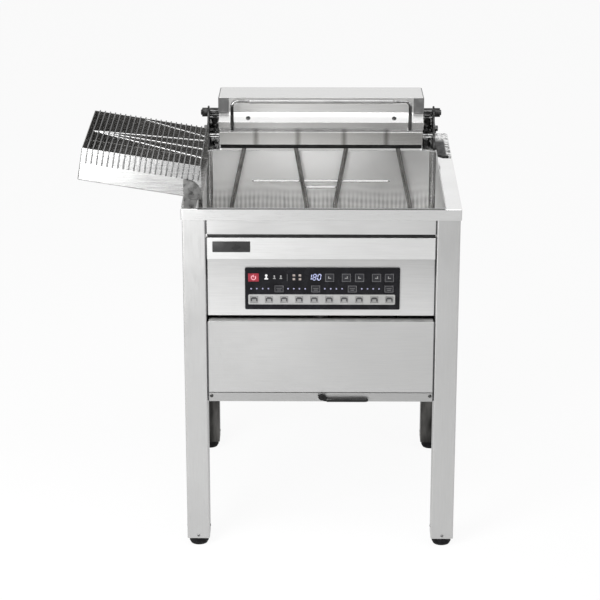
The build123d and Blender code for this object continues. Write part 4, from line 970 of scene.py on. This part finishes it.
# Painted shade: a black strip under the head's front edge, standing in for the shadow on the deck beneath
# it.
bar_piece("head_gap_shade", (-232, 134, 803.5), (232, 144, 813), 0.8, rubber_and_shade_black, "heater_head")

HINGE_Y = 240.0
HINGE_Z = 861.0
STOP_Y = 254
hinge_bolts = bmesh.new()
hinge_stops = bmesh.new()
for side in (-1, 1):
    for z in (806, 824):
        hex_bolt(hinge_bolts, (side * 250, STOP_Y, z), FORWARD, 5.5, 5.5)
    hex_bolt(hinge_bolts, (side * 265, 222, 828), (side, 0, 0), 7.0, 8.0)
    hex_bolt(hinge_bolts, (side * 265, 258, 812), (side, 0, 0), 6.0, 6.0)
    pin_end = [(0.0, 3.0), (5.5, 3.0), (6.5, 2.0), (6.5, 0.0)]
    turned(hinge_bolts, pin_end, (side * 278, HINGE_Y, HINGE_Z), (side, 0, 0))
    stop = [(0.0, 21.0), (5.5, 21.0), (7.0, 19.5), (7.6, 17.0), (7.6, 0.0)]
    turned(hinge_stops, stop, (side * 249, STOP_Y, 841), FORWARD)
finish_mesh("hinge_bolts", hinge_bolts, hinge_dark, "stand")
finish_mesh("hinge_stops", hinge_stops, rubber_and_shade_black, "stand")
tie_rods = [[(side * 238.5, 216, 812), (side * 261, 216, 812)] for side in (-1, 1)]
wires("hinge_tie_rods", tie_rods, 6.0, hinge_steel, "stand", 5)

PANEL_OUT = 296
stand_screws = bmesh.new()
rail_screws = bmesh.new()
for side in (-1, 1):
    for end in (-1, 1):
        screw(stand_screws, (side * LEG_X, end * LEG_OUT, 26), (0, end, 0), 3.4)
        screw(stand_screws, (side * LEG_OUT, end * LEG_X, 40), (side, 0, 0), 3.4)
        screw(stand_screws, (side * LEG_IN, end * LEG_X, 40), (-side, 0, 0), 3.4)
    screw(rail_screws, (side * 239, FACE_Y, 364), FORWARD, 4.0)
    for y in (-215, 0, 215):
        screw(stand_screws, (side * PANEL_OUT, y, 362), (side, 0, 0), 3.6)
        screw(stand_screws, (side * PANEL_OUT, y, 760), (side, 0, 0), 3.6)
    for z in (368, 560, 755):
        screw(stand_screws, (side * 225, PANEL_OUT, z), BACKWARD, 3.6)
finish_mesh("stand_screws", stand_screws, screw_steel, "stand")
finish_mesh("rail_screws", rail_screws, handle_dark, "stand")

seams = [[(side * (TANK_HALF - 1.0), TANK_FRONT + 1.0, z) for z in (TANK_TOP, 713)] for side in (-1, 1)]
wires("tank_seams", seams, 2.6, weld_steel, "stand")

COVE_RADIUS = 14.0
COVE_STEPS = 12
COVE_FOOT = 582


def corner_cove(shape, side):
    """Adds the hollow rounding in one of the tank's rear corners."""
    outline = [(TANK_HALF + 0.3, TANK_REAR + 0.3)]
    for step in range(COVE_STEPS + 1):
        angle = pi / 2 * step / COVE_STEPS
        x = TANK_HALF - COVE_RADIUS * (1 - sin(angle))
        outline.append((x, TANK_REAR - COVE_RADIUS * (1 - cos(angle))))
    skin(shape, [[shape.verts.new(at(side * x, y, z)) for x, y in outline] for z in (COVE_FOOT, TANK_TOP)])


coves = bmesh.new()
for side in (-1, 1):
    corner_cove(coves, side)
finish_mesh("tank_coves", coves, cove_steel, "stand")

RIB_TAPER = 5.0


def level_rib(shape, half, middle):
    """Adds a pressed rib to the tank's rear wall, drawn out at both ends."""
    section = [(0.0, 2.6), (-1.0, 2.6), (-3.6, -0.8), (-3.0, -1.9), (0.0, -2.6)]
    rings = []
    for x, size in ((-half, 0.15), (RIB_TAPER - half, 1.0), (half - RIB_TAPER, 1.0), (half, 0.15)):
        rings.append([shape.verts.new(at(x, TANK_REAR + y * size, middle + z * size)) for y, z in section])
    skin(shape, rings)


ribs = bmesh.new()
for half, z in ((161.5, 720), (38.5, 705)):
    level_rib(ribs, half, z)
finish_mesh("level_ribs", ribs, rib_steel, "stand", 20.0)


# Key panel

PRINT_DEPTH = 0.15


def dome(shape, x, z, radius, height):
    """Adds a small lens to the panel."""
    profile = [(0.0, height), (radius * 0.5, height * 0.85), (radius * 0.85, height * 0.5), (radius, 0.0)]
    turned(shape, profile, (x, PANEL_Y, z), FORWARD, 16)


def mark(shape, x, z, width, height, y):
    """Adds a small printed block."""
    bar(shape, (x - width / 2, y - PRINT_DEPTH, z - height / 2), (x + width / 2, y, z + height / 2))


def frame_lines(shape, x, z, half, rise, line):
    """Adds a thin printed frame around the middle of a key."""
    for side in (-1, 1):
        mark(shape, x, z + side * (rise - line / 2), 2 * half, line, KEY_Y)
        mark(shape, x + side * (half - line / 2), z, line, 2 * (rise - line), KEY_Y)


FIRST_LAMP = -150.6
GROUP_PITCH = 79.5
LAMP_PITCH = 12.4
timer_lamps = bmesh.new()
for group in range(4):
    for dot in range(4):
        dome(timer_lamps, FIRST_LAMP + GROUP_PITCH * group + LAMP_PITCH * dot, TIMER_ROW, 1.7, 0.5)
finish_mesh("timer_lamps", timer_lamps, lit_dim, "stand")

SEGMENTS = {"1": "bc", "8": "abcdefg", "0": "abcdef"}
DIGIT_LEAN = 0.14


def digit(shape, text, x, z, width, height):
    """Adds a leaning seven-segment digit."""
    half = height / 2
    line = 1.5
    trim = line * 0.6
    spans = {
        "a": ((0, half), (width, half)), "b": ((width, half), (width, 0)), "c": ((width, 0), (width, -half)),
        "d": ((0, -half), (width, -half)), "e": ((0, 0), (0, -half)), "f": ((0, half), (0, 0)),
        "g": ((0, 0), (width, 0)),
    }
    for name in SEGMENTS[text]:
        (x0, z0), (x1, z1) = spans[name]
        flat = z0 == z1
        low = (min(x0, x1) + (trim if flat else -line / 2), min(z0, z1) + (-line / 2 if flat else trim))
        high = (max(x0, x1) + (-trim if flat else line / 2), max(z0, z1) + (line / 2 if flat else -trim))
        points = [(low[0], low[1]), (high[0], low[1]), (high[0], high[1]), (low[0], high[1])]
        leaning = [(x + px + DIGIT_LEAN * pz, z + pz) for px, pz in points]
        slab(shape, leaning, PANEL_Y - PRINT_DEPTH, PANEL_Y)


READOUT_X = -27.0
DIGIT_PITCH = 10.0
readout = bmesh.new()
for index, text in enumerate("180"):
    digit(readout, text, READOUT_X + DIGIT_PITCH * index, UPPER_ROW + 1.0, 6.2, 13.0)
finish_mesh("readout", readout, lit_blue, "stand")


def person(shape, x, size):
    """Adds a small picture of a head and shoulders."""
    dome(shape, x, UPPER_ROW + 4.0 * size, 2.4 * size, PRINT_DEPTH)
    mark(shape, x, UPPER_ROW - 2.6 * size, 7.0 * size, 2.4 * size, PANEL_Y)
    mark(shape, x, UPPER_ROW + 0.2 * size, 2.6 * size, 3.0 * size, PANEL_Y)


picture = bmesh.new()
person(picture, -118.0, 1.15)
finish_mesh("panel_picture_lit", picture, print_white, "stand")
pictures = bmesh.new()
for x in (-100.5, -86.5):
    person(pictures, x, 0.8)
finish_mesh("panel_pictures", pictures, print_grey, "stand")

status_lamps = bmesh.new()
for column in range(2):
    for row in range(2):
        mark(status_lamps, -58.5 + 13.0 * column, UPPER_ROW - 3.5 + 8.5 * row, 5.4, 4.6, PANEL_Y)
finish_mesh("status_lamps", status_lamps, lit_warm, "stand")

dividers = bmesh.new()
mark(dividers, -73.0, UPPER_ROW, 0.7, 16.0, PANEL_Y)
finish_mesh("panel_lines", dividers, print_faint, "stand")


def key_middle(node):
    """The middle of a key, in millimetres."""
    low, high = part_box(node)
    return (low[0] + high[0]) / 2 / MM, (low[2] + high[2]) / 2 / MM


FRAME_HALF = 9.2
for index, node in enumerate(FUNCTION_KEYS):
    x, z = key_middle(node)
    glyph = bmesh.new()
    frame_lines(glyph, x, z, FRAME_HALF, 8.8, 0.7)
    finish_mesh(node + "_frame", glyph, print_faint, node)
    glyph = bmesh.new()
    mark(glyph, x, z - 1.0, 6.5, 1.4, KEY_Y)
    mark(glyph, x + (2.0 if index % 2 else -2.0), z + 1.6, 1.6, 3.4, KEY_Y)
    finish_mesh(node + "_mark", glyph, print_grey, node)

for node in TIMER_KEYS:
    x, z = key_middle(node)
    glyph = bmesh.new()
    frame_lines(glyph, x, z, FRAME_HALF, 7.2, 0.8)
    mark(glyph, x, z - 2.6, 8.0, 1.2, KEY_Y)
    mark(glyph, x, z + 1.2, 11.0, 1.0, KEY_Y)
    finish_mesh(node + "_mark", glyph, print_faint, node)

for node in MENU_KEYS:
    x, z = key_middle(node)
    glyph = bmesh.new()
    outer = [
        (x - 7.0, z - 4.0), (x - 7.0, z + 2.4), (x - 3.6, z + 5.4),
        (x + 3.6, z + 5.4), (x + 7.0, z + 2.4), (x + 7.0, z - 4.0),
    ]
    inner = [(x + 4.4, z - 4.0), (x + 4.4, z + 1.2), (x - 4.4, z + 1.2), (x - 4.4, z - 4.0)]
    slab(glyph, outer + inner, KEY_Y - PRINT_DEPTH, KEY_Y)
    finish_mesh(node + "_mark", glyph, print_dark, node)

RING_RADIUS = 4.6
x, z = key_middle("power_key")
glyph = bmesh.new()
for step in range(10):
    angle = radians(120 + 30 * step)
    mark(glyph, x + RING_RADIUS * cos(angle), z + RING_RADIUS * sin(angle), 2.2, 2.2, KEY_Y)
mark(glyph, x, z + 3.6, 1.6, 5.4, KEY_Y)
finish_mesh("power_key_mark", glyph, lit_pink, "power_key")


# Floor, light and camera

def studio_mix(tree, direct, reflected, plain, shown):
    """Shows a share of one shader to the camera and to reflections, over the plain one for all else."""
    rays = tree.nodes.new("ShaderNodeLightPath").outputs
    bounced = larger(rays["Is Glossy Ray"], rays["Is Transmission Ray"])
    seen = spread(rays["Is Camera Ray"], 0.0, direct, 0.0, 1.0)
    share = larger(seen, spread(bounced, 0.0, reflected, 0.0, 1.0))
    return add_node(tree, "MixShader", {"Fac": share, 1: plain, 2: shown}).outputs["Shader"]


def studio_floor():
    """A wide pale floor that keeps the object's shadow."""
    mesh = bpy.data.meshes.new("studio_floor")
    reach = 14.0
    corners = [(-reach, -reach, 0), (reach, -reach, 0), (reach, reach, 0), (-reach, reach, 0)]
    mesh.from_pydata(corners, [], [(0, 1, 2, 3)])
    floor = bpy.data.objects.new("studio_floor", mesh)
    scene.collection.objects.link(floor)
    material = bpy.data.materials.new("floor_white")
    material.use_nodes = True
    tree = material.node_tree
    tree.nodes.clear()
    matt = add_node(tree, "BsdfDiffuse", {"Color": tint(noise(tree, 3.0), grey(0.86, 0.0), grey(0.9, 0.0))})
    glow = tree.nodes.new("ShaderNodeEmission")
    mixed = studio_mix(tree, 0.92, 0.45, matt.outputs["BSDF"], glow.outputs["Emission"])
    add_node(tree, "OutputMaterial", {"Surface": mixed})
    mesh.materials.append(material)


def studio_world():
    """A white studio with a dark band high in front and a grey roof, and even fill for matt surfaces."""
    world = bpy.data.worlds.new("studio")
    scene.world = world
    world.use_nodes = True
    tree = world.node_tree
    tree.nodes.clear()
    heading = tree.nodes.new("ShaderNodeTexCoord").outputs["Generated"]
    split = add_node(tree, "SeparateXYZ", {"Vector": heading}).outputs
    band = times(rises(split["Z"], 0.12, 0.26), falls(split["Z"], 0.6, 0.8))
    band = times(band, falls(split["Y"], -0.5, -0.2))
    roof = times(spread(split["Z"], 0.0, 0.5, 0.97, 0.99), falls(split["Y"], 0.05, 0.12))
    room = tint(larger(band, roof), (1.0, 1.0, 1.0), (0.08, 0.08, 0.082), 0.0, 1.0)
    shown = add_node(tree, "Background", {"Color": room})
    plain = add_node(tree, "Background", {"Color": (1.0, 1.0, 1.0, 1.0), "Strength": 0.4})
    mixed = studio_mix(tree, 1.0, 1.0, plain.outputs["Background"], shown.outputs["Background"])
    add_node(tree, "OutputWorld", {"Surface": mixed})


def softbox(name, place, target, size, power):
    """A large soft lamp, turned towards a point."""
    lamp = bpy.data.lights.new(name, "AREA")
    lamp.shape = "RECTANGLE"
    lamp.size, lamp.size_y = size
    lamp.energy = power
    holder = bpy.data.objects.new(name, lamp)
    holder.location = place
    holder.visible_camera = False
    holder.rotation_euler = (Vector(target) - Vector(place)).to_track_quat("-Z", "Y").to_euler()
    scene.collection.objects.link(holder)


studio_floor()
studio_world()
softbox("key_light", (-1.5, -1.9, 1.9), (-0.1, 0.0, 0.6), (1.4, 1.2), 41.0)
softbox("front_light", (-0.75, -1.35, 0.8), (-0.2, -0.3, 0.72), (0.5, 0.4), 9.0)
softbox("fill_light", (2.8, -1.6, 1.9), (0.1, 0.0, 0.5), (1.6, 1.6), 20.0)
softbox("top_light", (0.0, -1.2, 3.0), (0.0, 0.0, 0.75), (2.4, 1.0), 35.0)

camera_data = bpy.data.cameras.new("camera")
camera_data.sensor_width = 36.0
camera_data.lens = 136.475
camera_data.clip_end = 60.0
camera = bpy.data.objects.new("camera", camera_data)
camera.location = (-0.0115, -4.9182, 2.2465)
camera.rotation_euler = (radians(70.247), 0.0, radians(0.4191))
scene.collection.objects.link(camera)
scene.camera = camera
scene.view_settings.view_transform = "Standard"
